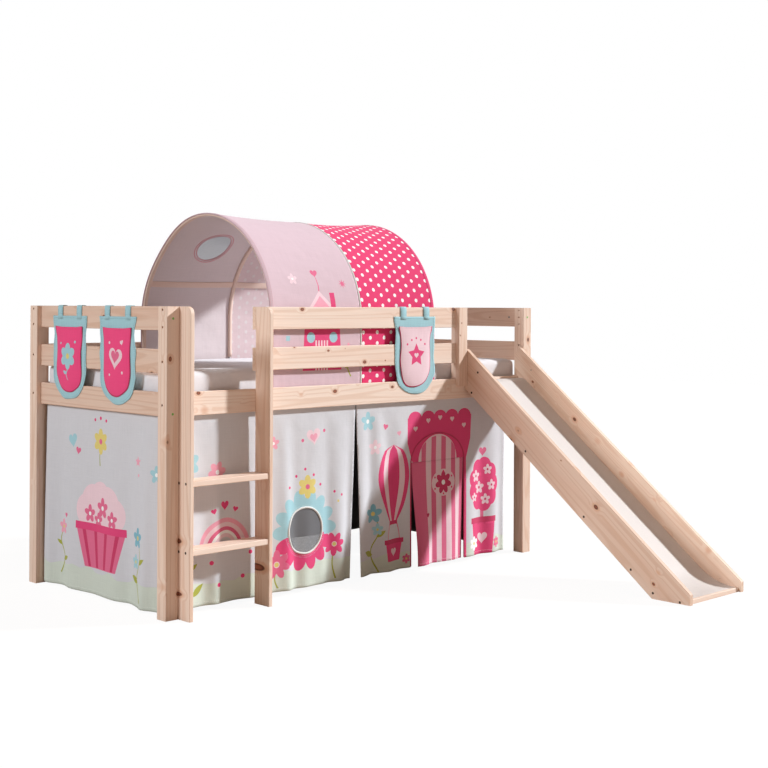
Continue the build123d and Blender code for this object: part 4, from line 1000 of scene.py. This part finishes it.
def right_end_print():
    shapes = meadow(149, 906, 5, 92, 17)
    shapes += flowerpot(500, 110, 290, 140)
    shapes += bloom(500, 596, 96, YELLOW, MID_PINK, petals=6)
    shapes += [(vine(((500, 500), (498, 540), (500, 570)), 6), OLIVE)]
    shapes += sprig(215, 50, 220, 1, DEEP_SKY, YELLOW)
    shapes += sprig(790, 60, 190, -1, SOFT_PINK, YELLOW)
    shapes += [(heart(280, 580, 56, -8), SKY), (heart(730, 600, 50, 10), MID_PINK)]
    return shapes


def hem_line(fold, low, high, v, step=8):
    count = int((high - low) / step)
    return [fold(low + (high - low) * index / count, v) for index in range(count + 1)]


def side_line(fold, u, low, high, step=8):
    count = int((high - low) / step)
    return [fold(u, low + (high - low) * index / count) for index in range(count + 1)]


def proud(fold, lift):
    """The same fold, lifted off the cloth's face."""
    def lifted(u, v):
        here = fold(u, v)
        du = fold(u + 2, v) - fold(u - 2, v)
        dv = fold(u, v + 2) - fold(u, v - 2)
        return here + du.cross(dv).normalized() * lift * MM
    return lifted


curtain_cuts = {
    "front_left": (box(60, 20, 979.5, TOP), front_left_print, front_left_fold, curtain_lining),
    "front_right": (None, front_right_print, front_right_fold, curtain_lining),
    "left_end": (box(-905, 8, -59, TOP), left_end_print, left_end_fold, curtain_lining),
    "back": (box(-2016, 20, -59, TOP), back_print, back_fold, painted_shade_lining),
    "right_end": (box(150, 8, 905, TOP), right_end_print, right_end_fold, painted_shade_lining),
}
window_rim = oval(*ROUND_WINDOW, 180, count=48)
for name, (outline, prints, fold, lining) in curtain_cuts.items():
    holes = ()
    if name == "front_left":
        outline = [(60, 20), (958.5, 20), (979.5, TOP), (60, TOP)]
        holes = (window_rim,)
    elif name == "front_right":
        outline = [(1003.5, 20), (1311, 20), (1311, 474.5), (1649, 474.5), (1649, 20), (1932, 20),
                   (1932, TOP), (982.5, TOP)]
    cut = cut_cloth(outline, prints(), OFF_WHITE, 11.0 if name != "back" else 16.0, holes)
    piece = sewn_cloth(f"curtain_{name}_cloth", cut, fold, printed_cotton, lining)
    node = f"curtain_{name}"
    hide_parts(node)
    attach(piece, "bed")

hem_rows = []
for name, low, high, foot in (("front_left", 62, 956, 34), ("left_end", -903, -61, 22),
                              ("back", -2014, -61, 34),
                              ("right_end", 152, 903, 22)):
    hem_rows.append(hem_line(proud(curtain_cuts[name][2], 0.4), low, high, foot))
lifted = proud(front_right_fold, 0.4)
hem_rows.append(hem_line(lifted, 1005, 1309, 34))
hem_rows.append(hem_line(lifted, 1651, 1930, 34))
hem_rows.append(side_line(lifted, 1926, 24, 728))
hem_stitches = stitches("curtain_hem_stitches", hem_rows, white_thread)
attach(hem_stitches, "bed")

# The round window of the front left curtain: net behind a white bound edge
lifted = proud(front_left_fold, 0.2)
rim = [lifted(*spoke(*ROUND_WINDOW, 92, a)) for a in range(0, 366, 6)]
window_ring = piping("curtain_window_binding", [rim], white_piping, 4.2, 8.0)
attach(window_ring, "bed")
rim = [lifted(*spoke(*ROUND_WINDOW, 101, a)) for a in range(0, 366, 4)]
ring_stitches = stitches("curtain_window_stitches", [rim], white_thread)
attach(ring_stitches, "bed")
net_cut = cut_cloth(oval(*ROUND_WINDOW, 184, count=48), [], WHITE, 12.0)


def net_fold(u, v):
    return front_left_fold(u, v) + Vector((0, 0.6 * MM, 0))


window_net = sewn_cloth("curtain_window_mesh", net_cut, net_fold, curtain_net, curtain_net, 0.5)
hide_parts("curtain_window_net")
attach(window_net, "bed")

# The doorway's raised edge, and the striped flap that hangs in it
lifted = proud(front_right_fold, 0.3)
edge = [lifted(1310, 24 + 6 * i) for i in range(75)]
edge += [lifted(*spoke(1480, 470, -170, a, 124)) for a in range(0, 181, 4)]
edge += [lifted(1650, 468 - 6 * i) for i in range(75)]
door_piping = piping("doorway_piping", [edge], rose_piping, 3.4, 8.0)
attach(door_piping, "bed")


def flap_fold(u, v):
    """The flap hangs straight on its right and is turned out on its left."""
    drop = ease(474 - v, 0, 454)
    out = 9 * drop * hump(u, 1560, 60) - 5 * drop * hump(u, 1630, 30) + 20 * drop * hump(u, 1344, 60)
    out -= 6 * drop * hump(u, 1435, 26)
    side = 26 * drop * (1 - ease(u, 1325, 1560)) - 6 * drop * ease(u, 1560, 1645)
    loose = 1.2 * noise.noise(Vector((u / 60, v / 200, 4)))
    return at(u + side, FRONT_CLOTH - 0.4 - out + loose * ease(474 - v, 0, 150), v)


flap_shapes = [(box(1314, 10, 1392, 480), MID_PINK)]
for low, high in DOOR_STRIPES + ((1622, 1650),):
    flap_shapes.append((box(low, 10, high, 480), MID_PINK))
flap_shapes.append((oval(1516, 372, 148, 120), PALE_PINK))
flap_shapes += bloom(1516, 372, 104, DEEP_PINK, WHITE, petals=7, plump=0.36)
for a in range(0, 360, 60):
    flap_shapes.append((oval(*spoke(1516, 372, 62, a + 30, 50), 10, count=10), HOT_PINK))
flap_shapes.append((heart(1408, 236, 24), DEEP_PINK))
flap_cut = cut_cloth(box(1315.5, 20, 1644.5, 474.1), flap_shapes, PALE_PINK, 11.0)
flap = sewn_cloth("door_flap_cloth", flap_cut, flap_fold, printed_cotton, curtain_lining, 0.8)
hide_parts("door_flap")
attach(flap, "door")
flap_stitches = stitches("door_flap_stitches", [hem_line(proud(flap_fold, 0.4), 1320, 1640, 32)],
                         white_thread)
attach(flap_stitches, "door")


# Tunnel

# The tunnel's middle across the bed, its springing, its hem and its radius, then its three hoops
TUNNEL_MIDDLE = 490.0
TUNNEL_SPRING = 1090.0
TUNNEL_HEM = 800.0
TUNNEL_RADIUS = 449.6
LEG = TUNNEL_SPRING - TUNNEL_HEM
GIRTH = 2 * LEG + math.pi * TUNNEL_RADIUS
HOOP_LEFT = 532.0
HOOP_SEAM = 1010.0
HOOP_RIGHT = 1444.0


def tunnel_slack(x, s):
    """How far the hoops have settled: the seam's crown sinks, and the open end's back shoulder flattens."""
    angle = min(math.pi, max(0.0, (s - LEG) / TUNNEL_RADIUS))
    if x < HOOP_SEAM:
        sunk = 16 * min(1.0, max(0.0, (x - HOOP_LEFT) / (HOOP_SEAM - HOOP_LEFT)))
    else:
        sunk = 16 - 8 * min(1.0, (x - HOOP_SEAM) / (HOOP_RIGHT - HOOP_SEAM))
    shoulder = 22 * hump(angle, math.radians(136), math.radians(26)) * (1 - ease(x, HOOP_LEFT, HOOP_SEAM))
    return -sunk * math.sin(angle) ** 2 - shoulder


def tunnel_section(x, s, lift):
    """Where the tunnel's cloth is, s mm up from its front hem and round, and its outward direction."""
    radius = TUNNEL_RADIUS + lift + tunnel_slack(x, s)
    if s < LEG:
        return (TUNNEL_MIDDLE - radius, TUNNEL_HEM + s), (-1.0, 0.0)
    if s > GIRTH - LEG:
        return (TUNNEL_MIDDLE + radius, TUNNEL_HEM + GIRTH - s), (1.0, 0.0)
    angle = (s - LEG) / TUNNEL_RADIUS
    outward = (-math.cos(angle), math.sin(angle))
    return (TUNNEL_MIDDLE + radius * outward[0], TUNNEL_SPRING + radius * outward[1]), outward


def tunnel_sag(x, s):
    """How the cloth draws in between its hoops, and the soft creases across it."""
    crown = ease(s, LEG - 120, LEG + 260) * ease(GIRTH - s, LEG - 120, LEG + 260)
    if x < HOOP_SEAM:
        share = min(1.0, max(0.0, (x - HOOP_LEFT) / (HOOP_SEAM - HOOP_LEFT)))
        dip = 6.0
    else:
        share = min(1.0, max(0.0, (x - HOOP_SEAM) / (HOOP_RIGHT - HOOP_SEAM)))
        dip = 8.0
    between = 4 * share * (1 - share)
    sag = -dip * between * (0.35 + 0.65 * crown)
    crease = (noise.noise(Vector((x / 260, s / 52, 2.5))) * 2.0
              + noise.noise(Vector((x / 150, s / 21, 6.5))) * 0.9) * between
    tape = -1.3 * between * (hump(s, 456, 7) + hump(s, GIRTH - 456, 7))
    gather = 1.6 * math.sin(x / 11.0 + 0.8 * math.sin(x / 37.0)) * (1 - ease(s, 10, 120))
    gather *= ease(between, 0.05, 0.4)
    return sag + crease + tape - abs(gather)


def tunnel_fold(x, s):
    (y, z), _ = tunnel_section(x, s, tunnel_sag(x, s))
    return at(x, y, z)


def tunnel_left_print():
    """Low on the front: a small cottage between flowers, with a star above it."""
    shapes = []
    u = 790
    shapes.append(([(u - 100, 92), (u + 112, 92), (u + 100, 280), (u - 90, 280)], HOT_PINK))
    shapes.append(([(u - 128, 276), (u + 138, 276), (u + 4, 420)], PALE_PINK))
    shapes.append(([(u - 96, 292), (u + 104, 292), (u + 4, 398)], SOFT_PINK))
    shapes.append((box(u + 58, 340, u + 84, 412), HOT_PINK))
    for stripe in range(5):
        shapes.append((box(u - 32 + stripe * 15, 92, u - 24 + stripe * 15, 214), PALE_PINK))
    shapes.append((oval(u - 56, 226, 44), SKY))
    shapes.append((oval(u + 66, 226, 44), SKY))
    shapes.append((heart(u + 4, 334, 34), WHITE))
    shapes.append((vine(((u + 4, 418), (u + 6, 452), (u + 2, 484)), 6), MID_PINK))
    shapes.append((heart(u + 2, 500, 38), MID_PINK))
    shapes.append((box(u - 188, 214, u - 168, 234), SKY))
    shapes += bloom(u - 150, 120, 54, SOFT_PINK, OLIVE)
    shapes += sprig(u + 164, 62, 120, -1, SOFT_PINK, YELLOW)
    shapes.append((star(u + 142, 452, 22, tips=8, inner=0.35), MID_PINK))
    shapes += bloom(u - 124, 470, 50, PALE_PINK, WHITE)
    return shapes


# The dots' columns, their pitch in a column and their size
DOT_STEP = 41.0
DOT_PITCH = 46.0
DOT_ACROSS = 17.0


def tunnel_dots():
    shapes = []
    column = 0
    x = 1024.0
    while x < 1452:
        s = 14.0 + (DOT_PITCH / 2 if column % 2 else 0.0)
        while s < GIRTH - 12:
            shapes.append((dot(x, s, DOT_ACROSS), WHITE))
            s += DOT_PITCH
        x += DOT_STEP
        column += 1
    return shapes


WINDOW_X = 790.0
WINDOW_S = GIRTH - LEG - TUNNEL_RADIUS * math.radians(49.3)
tunnel_window = oval(WINDOW_X, WINDOW_S, 170, count=48)
left_cut = cut_cloth(box(520.5, 0, 1009.6, GIRTH), tunnel_left_print(), TUNNEL_PINK, 15.0, (tunnel_window,))
tunnel_left = sewn_cloth("tunnel_left_cloth", left_cut, tunnel_fold, printed_cotton, tunnel_lining, 1.2)
right_cut = cut_cloth(box(1010.4, 0, 1455.5, GIRTH), tunnel_dots(), DOT_PINK, 16.0)
tunnel_right = sewn_cloth("tunnel_right_cloth", right_cut, tunnel_fold, printed_cotton, tunnel_lining, 1.2)
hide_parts("tunnel_cover_left")
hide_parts("tunnel_cover_right")
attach(tunnel_left, "bed")
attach(tunnel_right, "bed")

net_cut = cut_cloth(oval(WINDOW_X, WINDOW_S, 174, count=48), [], WHITE, 13.0)


def tunnel_net_fold(x, s):
    (y, z), _ = tunnel_section(x, s, tunnel_sag(x, s) - 0.3)
    return at(x, y, z)


tunnel_window_mesh = sewn_cloth("tunnel_window_mesh", net_cut, tunnel_net_fold, tunnel_net, tunnel_net, 0.5)
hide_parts("tunnel_window_net")
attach(tunnel_window_mesh, "bed")


def round_window(radius, lift, step=6):
    line = []
    for a in range(0, 361, step):
        x = WINDOW_X + radius * math.cos(math.radians(a))
        s = WINDOW_S + radius * math.sin(math.radians(a))
        (y, z), _ = tunnel_section(x, s, tunnel_sag(x, s) + lift)
        line.append(at(x, y, z))
    return line


window_rims = [round_window(radius, lift) for lift in (-1.4, 0.2) for radius in (86, 97)]
window_rings = piping("tunnel_window_binding", window_rims, pink_thread, 1.6, 8.0)
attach(window_rings, "bed")


def tunnel_spine(x, lift, start=0.0, stop=None, step=20.0, inwards=False):
    """Places round the tunnel at one x, with the directions a band needs."""
    stop = GIRTH if stop is None else stop
    count = int((stop - start) / step)
    spine = []
    for index in range(count + 1):
        s = start + (stop - start) * index / count
        (y, z), outward = tunnel_section(x, s, lift)
        away = Vector((0, *outward))
        spine.append((at(x, y, z), Vector((1, 0, 0)), -away if inwards else away))
    return spine


binding_left = ribbon("tunnel_left_binding", tunnel_spine(530.0, 0.0), 18, 1.2, pale_binding)
binding_right = ribbon("tunnel_right_binding", tunnel_spine(1446.0, -0.4), 17, 1.0, hot_piping)
seam = ribbon("tunnel_seam_binding", tunnel_spine(1010.0, 0.0), 9, 1.6, seam_binding)
INNER_START = 116.0
channels = []
for label, x, wide in (("left", 533.0, 19), ("seam", 1010.0, 19), ("right", 1442.0, 19)):
    band = ribbon(f"tunnel_channel_{label}", tunnel_spine(x, -1.0, INNER_START, GIRTH - INNER_START,
                                                          inwards=True),
                  wide, 9.6, beige_tape)
    channels.append(band)
tape_pieces = []
for label, s in (("front", 456.0), ("back", GIRTH - 456.0)):
    spine = []
    for x in range(534, 1443, 12):
        (y, z), outward = tunnel_section(x, s, -2.6 + (tunnel_sag(x, s) if 540 < x < 1436 else 0))
        spine.append((at(x, y, z), Vector((0, outward[1], -outward[0])), -Vector((0, *outward))))
    tape_pieces.append(ribbon(f"tunnel_tape_{label}", spine, 27, 1.0, beige_tape))
for label, x in (("left", HOOP_LEFT), ("seam", HOOP_SEAM), ("right", HOOP_RIGHT)):
    rod = ribbon(f"tunnel_rod_{label}", tunnel_spine(x, -1.9, -4.6, GIRTH + 4.6, inwards=True), 8, 6.0,
                 rod_white)
    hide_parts("tunnel_hoops")
    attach(rod, "bed")
edge_line = [place for place, _, _ in tunnel_spine(521.5, -0.6)]
edge_piping = piping("tunnel_edge_piping", [edge_line], pale_binding, 2.6, 16.0)
for piece in [binding_left, binding_right, seam, edge_piping] + channels + tape_pieces:
    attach(piece, "bed")
rows = [[place for place, _, _ in tunnel_spine(x, 1.5, step=12)] for x in (523.5, 536.5)]
tunnel_stitches = stitches("tunnel_binding_stitches", rows, pink_thread, 4.5, 7.5, 1.1)
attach(tunnel_stitches, "bed")


# Pockets

# A pocket's panel and pouch, the height of its top and the outer face of the plank behind it
POCKET_WIDE = 250.0
POCKET_TALL = 337.0
POUCH_WIDE = 188.0
POUCH_TALL = 262.0
POCKET_TOP = 1110.0
PLANK_FACE = 19.0


def pocket_outline(wide, tall, wobble, seed):
    """A flat top with flared corners, a slight waist and a full round foot, wavy at the edge."""
    half = wide / 2
    points = [(-half, 0.0)]
    for step in range(1, 12):
        points.append((-half, -(tall - half) * step / 12))
    for step in range(33):
        angle = math.pi * step / 32
        side = math.copysign(abs(math.cos(angle)) ** 0.88, math.cos(angle))
        points.append((-half * side, -(tall - half) - half * math.sin(angle) ** 0.92))
    for step in range(11, 0, -1):
        points.append((half, -(tall - half) * step / 12))
    points.append((half, 0.0))
    wavy = []
    for u, v in points:
        flare = wobble * (0.7 * hump(v, 0, 26) - 0.55 * hump(v, -92, 46)) * (1 if abs(u) > half * 0.8 else 0)
        pull = flare + wobble * noise.noise(Vector((u / 62, v / 62, seed)))
        wavy.append((u * (1 + pull / half), v * (1 + pull / tall)))
    return wavy


def edge_reach(u, v, wide, tall):
    """How far a place is inside a pocket's sides and foot, in mm."""
    half = wide / 2
    if v > -(tall - half):
        return half - abs(u)
    return half - math.hypot(u, v + tall - half)


def hung_pocket(name, place, body, pouch_code, edge_code, motif):
    """A panel, its pouch and their trim. place turns (across, up, out) in mm into the frame."""
    seed = len(name) * 1.7

    def panel_fold(u, v):
        ripple_out = 0.8 + 0.8 * noise.noise(Vector((u / 50, v / 60, seed)))
        return place(u, v, 1.2 + ripple_out)

    panel_cut = cut_cloth(pocket_outline(POCKET_WIDE - 4, POCKET_TALL - 2, 9.0, seed), [], CANVAS_BLUE, 9.0)
    panel = sewn_cloth(f"{name}_canvas", panel_cut, panel_fold, blue_canvas, blue_canvas, 1.2)

    def pouch_fold(u, v):
        """v is measured from the pouch's mouth."""
        inside = max(0.0, edge_reach(u, v, POUCH_WIDE, POUCH_TALL))
        belly = 8.5 * (1 - math.exp(-inside / 22)) * (0.55 + 0.45 * ease(-v, -20, 120))
        mouth = 1 - ease(-v, 0, 46)
        ears = 3.0 * mouth * ease(abs(u), 60, 94)
        slack = 0.8 * noise.noise(Vector((u / 40, v / 46, seed + 3)))
        tips = 3.0 * mouth * ease(abs(u), 50, 94)
        return place(u * (1 + 0.02 * mouth), v - 45 + tips, 3.4 + belly + ears + slack)

    outline = pocket_outline(POUCH_WIDE, POUCH_TALL, 6.0, seed + 5)
    edge_shape = pocket_outline(POUCH_WIDE - 9, POUCH_TALL - 5, 5.0, seed + 5)
    shapes = [([(u, min(v, -0.5)) for u, v in edge_shape], pouch_code)] + motif
    pouch_cut = cut_cloth(outline, shapes, edge_code, 7.5)
    pouch = sewn_cloth(f"{name}_bag", pouch_cut, pouch_fold, printed_cotton, curtain_lining, 1.2)

    lift = proud(panel_fold, 0.5)
    line = [lift(u, v) for u, v in pocket_outline(POCKET_WIDE - 22, POCKET_TALL - 12, 8.0, seed)]
    top = [lift(u, -8.0) for u in np.linspace(-112, 112, 30)]
    rows = stitches(f"{name}_stitches", [line, top], blue_thread, 4.5, 7.0, 1.2)
    lift = proud(pouch_fold, 0.4)
    mouth = [lift(u, -5.0) for u in np.linspace(-88, 88, 26)]
    seam_row = stitches(f"{name}_mouth_stitches", [mouth], pink_thread, 4.0, 6.5, 1.0)
    for piece in (panel, pouch, rows, seam_row):
        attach(piece, body)
    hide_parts(f"{name}_panel")
    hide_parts(f"{name}_pouch")


def end_place(y):
    """From a pocket on the left end to the frame: across runs towards the front."""
    return lambda u, v, out: at(PLANK_FACE - 0.5 - out, y - u, POCKET_TOP + v)


def front_place(x):
    return lambda u, v, out: at(x + u, PLANK_FACE - 0.5 - out, POCKET_TOP + v)


near_motif = [
    (heart(0, -112, 92, -6), PALE_PINK),
    (heart(-2, -108, 56, -6), MID_PINK),
    (dot(-44, -56, 12), PALE_PINK),
    (dot(46, -170, 12), PALE_PINK),
    (heart(40, -54, 22, 14), PALE_PINK),
    (dot(-40, -180, 10), PALE_PINK),
]
far_motif = bloom(0, -118, 108, SKY, YELLOW, petals=6, plump=0.46) + [
    (vine(((4, -164), (-10, -190), (2, -214)), 6), SKY),
    (leaf(-6, -188, 30, 14, 160), SKY),
    (dot(52, -60, 12), SKY),
    (dot(-54, -66, 10), SKY),
]
front_motif = [(star(0, -122, 52, inner=0.52), HOT_PINK), (heart(0, -122, 26), PALE_PINK)]
for u, v in ((-54, -74), (-28, -56), (0, -48), (28, -56), (54, -74)):
    front_motif.append((dot(u, v, 10), HOT_PINK))
hung_pocket("end_pocket_near", end_place(350), "pocket_end_near", POUCH_PINK, DEEP_PINK, near_motif)
hung_pocket("end_pocket_far", end_place(696), "pocket_end_far", POUCH_PINK, DEEP_PINK, far_motif)
hung_pocket("front_pocket", front_place(1309), "pocket_front", PALE_PINK, DEEP_PINK, front_motif)

# Two canvas loops over the top plank for each pocket. A loop's path is (out, up) from the plank's
# outer top edge, and its section is (across, out from the path).
LOOP_PATH = ((1.6, -14.0), (1.9, 0.0), (2.0, 20.0), (1.6, 34.0), (0.6, 39.6), (-1.4, 41.6), (-9.0, 42.0),
             (-17.5, 41.6), (-19.6, 39.6), (-20.2, 34.0), (-20.3, 10.0), (-20.2, -17.0))
LOOP_SECTION = ((-18.0, -0.8), (-18.5, 0.0), (-17.6, 0.9), (0.0, 1.1), (17.6, 0.9), (18.5, 0.0),
                (18.0, -0.8), (0.0, -0.9))
LOOP_SIDES = len(LOOP_SECTION)
loop_points, loop_faces, loop_flats = [], [], []
loop_rows = []
for place in (end_place(350), end_place(696), front_place(1309)):
    for side in (-71, 71):
        start = len(loop_points)
        run = 0.0
        for index, (out, up) in enumerate(LOOP_PATH):
            before = LOOP_PATH[max(0, index - 1)]
            after = LOOP_PATH[min(len(LOOP_PATH) - 1, index + 1)]
            if index:
                run += math.dist(LOOP_PATH[index - 1], LOOP_PATH[index])
            tangent = Vector((after[0] - before[0], after[1] - before[1])).normalized()
            normal = Vector((tangent.y, -tangent.x))
            for across, thick in LOOP_SECTION:
                loop_points.append(place(side + across, up + normal.y * thick, out + normal.x * thick))
                loop_flats.append((across, run))
        for row in range(len(LOOP_PATH) - 1):
            for corner in range(LOOP_SIDES):
                a = start + row * LOOP_SIDES + corner
                b = start + row * LOOP_SIDES + (corner + 1) % LOOP_SIDES
                loop_faces.append((a, b, b + LOOP_SIDES, a + LOOP_SIDES))
        for row in (0, len(LOOP_PATH) - 1):
            loop_faces.append(tuple(start + row * LOOP_SIDES + corner for corner in range(LOOP_SIDES)))
        loop_rows.append([place(side + u, 8.0, 3.5) for u in (-15, -5, 5, 15)])
        for u in (-15.0, 15.0):
            loop_rows.append([place(side + u, v, 3.4) for v in (4, 14, 24)])
loops = mesh_piece("pocket_loop_webbing", loop_points, loop_faces, [blue_canvas], loop_flats)
outward_faces(loops)
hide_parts("pocket_loops")
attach(loops, "bed")
loop_stitches = stitches("pocket_loop_stitches", loop_rows, blue_thread, 4.0, 6.0, 1.1)
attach(loop_stitches, "bed")


# Mattress

MATTRESS_LOW = at(42.5, 48.6, 795)
MATTRESS_HIGH = at(2032.5, 931.4, 910)


def rounded_block(name, low, high, corner, cells):
    """A block with rounded edges, as even quads over its six sides."""
    work = bmesh.new()
    bmesh.ops.create_cube(work, size=1.0)
    size = high - low
    middle = (high + low) / 2
    bmesh.ops.transform(work, matrix=Matrix.Translation(middle) @ Matrix.Diagonal((*size, 1)),
                        verts=work.verts)
    bmesh.ops.bevel(work, geom=list(work.edges), offset=corner, segments=4, profile=0.5, affect="EDGES")
    mesh = bpy.data.meshes.new(name)
    work.to_mesh(mesh)
    work.free()
    piece = bpy.data.objects.new(name, mesh)
    bpy.context.scene.collection.objects.link(piece)
    mesher = piece.modifiers.new("even", "REMESH")
    mesher.mode = "VOXEL"
    mesher.voxel_size = cells
    return settle(piece)


# In metres: room left for the cover to swell, its rounded edges, its cells and its greatest swell
COVER_ROOM = 0.003
COVER_CORNER = 0.020
COVER_CELL = 0.013
COVER_SWELL = 0.006
CLOTH_FRAMES = 12
shrink = Vector((COVER_ROOM, COVER_ROOM, COVER_ROOM))
cover = rounded_block("mattress_cover", MATTRESS_LOW + shrink, MATTRESS_HIGH - shrink, COVER_CORNER,
                      COVER_CELL)
start = np.array([v.co for v in cover.data.vertices])
# Filled with gentle pressure, so that the sheet over it stretches, crowns and creases
filler = cover.modifiers.new("filled", "CLOTH")
filler.settings.quality = 3
filler.settings.use_pressure = True
filler.settings.uniform_pressure_force = 3.0
filler.settings.effector_weights.gravity = 0.0
filler.settings.tension_stiffness = 12
filler.settings.compression_stiffness = 12
filler.settings.shear_stiffness = 5
filler.settings.bending_stiffness = 0.3
filler.settings.mass = 0.3
filler.point_cache.frame_start = 1
filler.point_cache.frame_end = CLOTH_FRAMES
for step in range(1, CLOTH_FRAMES + 1):
    bpy.context.scene.frame_set(step)
settle(cover)
bpy.context.scene.frame_set(1)
swollen = np.array([v.co for v in cover.data.vertices])
moved = swollen - start
lengths = np.linalg.norm(moved, axis=1, keepdims=True)
capped = start + moved * np.minimum(1.0, COVER_SWELL / np.maximum(lengths, 1e-9))
low, high = np.array(MATTRESS_LOW), np.array(MATTRESS_HIGH)
middle = (low + high) / 2
for row in range(len(capped)):
    x, y, z = capped[row]
    edge = min(x - low[0], high[0] - x, y - low[1], high[1] - y)
    crumple = noise.noise(Vector((x * 8, y * 8, 1.0))) * 2.4
    crumple += noise.noise(Vector((x * 26, y * 22, 5.0))) * 1.2
    crumple -= 2.6 * max(0.0, 0.28 - abs(noise.noise(Vector((x * 4.5 + y, y * 6.5 - x, 3.0))))) / 0.28
    if z > middle[2] + 0.02:
        capped[row][2] += crumple * MM
    if edge < 0.03:
        pleat = noise.noise(Vector(((x + y) * 30, z * 6, 7.0))) * 1.6
        pleat += noise.noise(Vector((x * 11, z * 60, 9.0))) * 1.2
        outward = np.array([(x - middle[0]) / (high[0] - low[0]), (y - middle[1]) / (high[1] - low[1]), 0.0])
        side = np.array([1.0, 0.0, 0.0]) if abs(outward[0]) > abs(outward[1]) else np.array([0.0, 1.0, 0.0])
        capped[row] -= side * np.sign(outward @ side) * abs(pleat) * MM
capped = np.minimum(np.maximum(capped, low + 0.0002), high - 0.0002)
cover.data.vertices.foreach_set("co", capped.ravel().astype(np.float32))
cover.data.update()
smoother = cover.modifiers.new("smooth", "SUBSURF")
smoother.levels = 1
smoother.render_levels = 1
settle(cover)
if not cover.data.uv_layers:
    layer = cover.data.uv_layers.new(name="flat")
    loops_index = np.empty(len(cover.data.loops), np.int32)
    cover.data.loops.foreach_get("vertex_index", loops_index)
    places = np.array([v.co for v in cover.data.vertices], np.float32)
    layer.data.foreach_set("uv", np.stack([places[loops_index, 0],
                                           places[loops_index, 1] + places[loops_index, 2]], 1).ravel())
cover.data.materials.clear()
cover.data.materials.append(white_percale)
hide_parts("mattress")
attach(cover, "bed")

# Floor, lamps and camera

# The floor is warm under the object and nearly white to the camera. The room is warm grey to the
# object and white where the camera sees it.
FLOOR_DULL = (0.46, 0.38, 0.33, 1)
FLOOR_PALE = (0.52, 0.43, 0.37, 1)
ROOM_LIGHT = (0.24, 0.19, 0.16, 1)
WHITE_LIGHT = (1, 1, 1, 1)
FLOOR_HALF = 14
floor_material, floor_tree, floor_shader = new_material("pale_studio_floor")
floor_place = put(floor_tree, "ShaderNodeTexCoord").outputs["Object"]
floor_grain = put(floor_tree, "ShaderNodeTexNoise", {"Vector": floor_place, "Scale": 3.0})
feed(floor_shader, "Base Color", blended(floor_tree, floor_grain.outputs[0], FLOOR_DULL, FLOOR_PALE))
floor_shader.inputs["Roughness"].default_value = 0.9
floor_output = next(node for node in floor_tree.nodes if node.type == "OUTPUT_MATERIAL")
ray = put(floor_tree, "ShaderNodeLightPath")
seen = put(floor_tree, "ShaderNodeMath", {0: ray.outputs["Is Camera Ray"], 1: 0.84}, operation="MULTIPLY")
glow = put(floor_tree, "ShaderNodeEmission", {"Color": WHITE_LIGHT, "Strength": 1.12})
floor_mix = put(floor_tree, "ShaderNodeMixShader", {0: seen.outputs[0], 1: floor_shader.outputs[0],
                                                    2: glow.outputs[0]})
floor_tree.links.new(floor_mix.outputs[0], floor_output.inputs["Surface"])
floor_mesh = bpy.data.meshes.new("studio_floor")
floor_corners = [(x * FLOOR_HALF, y * FLOOR_HALF, 0) for x, y in ((-1, -1), (1, -1), (1, 1), (-1, 1))]
floor_mesh.from_pydata(floor_corners, [], [(0, 1, 2, 3)])
floor_mesh.materials.append(floor_material)
floor = bpy.data.objects.new("studio_floor", floor_mesh)
bpy.context.scene.collection.objects.link(floor)

world = bpy.data.worlds.new("studio")
bpy.context.scene.world = world
world.use_nodes = True
world_tree = world.node_tree
world_tree.nodes.clear()
path = put(world_tree, "ShaderNodeLightPath")
direct = numbers(world_tree, "MAXIMUM", path.outputs["Is Camera Ray"], path.outputs["Is Glossy Ray"])
direct = numbers(world_tree, "MAXIMUM", direct, path.outputs["Is Transmission Ray"])
tone = blended(world_tree, direct, ROOM_LIGHT, WHITE_LIGHT)
sky = put(world_tree, "ShaderNodeBackground", {"Color": tone, "Strength": 1.0})
put(world_tree, "ShaderNodeOutputWorld", {"Surface": sky.outputs[0]})


def sun(name, towards, strength, spread, tint):
    """A far lamp that shines along a direction."""
    lamp = bpy.data.lights.new(name, "SUN")
    lamp.energy = strength
    lamp.angle = math.radians(spread)
    lamp.color = tint
    holder = bpy.data.objects.new(name, lamp)
    holder.rotation_euler = Vector(towards).to_track_quat("-Z", "Y").to_euler()
    bpy.context.scene.collection.objects.link(holder)


# A strong lamp from the right front throws the shadows, and a broad weak one fills from the left
sun("main_soft_box", (-1.6, 1.0, -1.1), 4.5, 4.0, (0.88, 0.95, 1.0))
sun("left_soft_box", (1.0, -0.22, -0.42), 1.84, 16.0, (0.84, 0.93, 1.0))

# The camera as it was solved from the photograph, angles in radians
YAW = 0.7721767
ROLL = 0.0050376
PHOTO_PIXELS = 768
FOCAL_PIXELS = 1337.155
SENSOR = 36.0
SHIFT_UP = -0.10093
FAR = 60
EYE = Vector((-3.87052, -3.94909, 1.15339))
right = Vector((math.cos(YAW), -math.sin(YAW), 0))
forward = Vector((math.sin(YAW), math.cos(YAW), 0))
level = right * math.cos(ROLL) + Vector((0, 0, 1)) * math.sin(ROLL)
upward = level.cross(forward)
lens = bpy.data.cameras.new("photo_camera")
lens.sensor_width = SENSOR
lens.lens = FOCAL_PIXELS * SENSOR / PHOTO_PIXELS
lens.shift_y = SHIFT_UP
lens.clip_end = FAR
camera = bpy.data.objects.new("photo_camera", lens)
camera.matrix_world = Matrix.Translation(EYE) @ Matrix((level, upward, -forward)).transposed().to_4x4()
bpy.context.scene.collection.objects.link(camera)
bpy.context.scene.camera = camera
bpy.context.scene.view_settings.view_transform = "Standard"
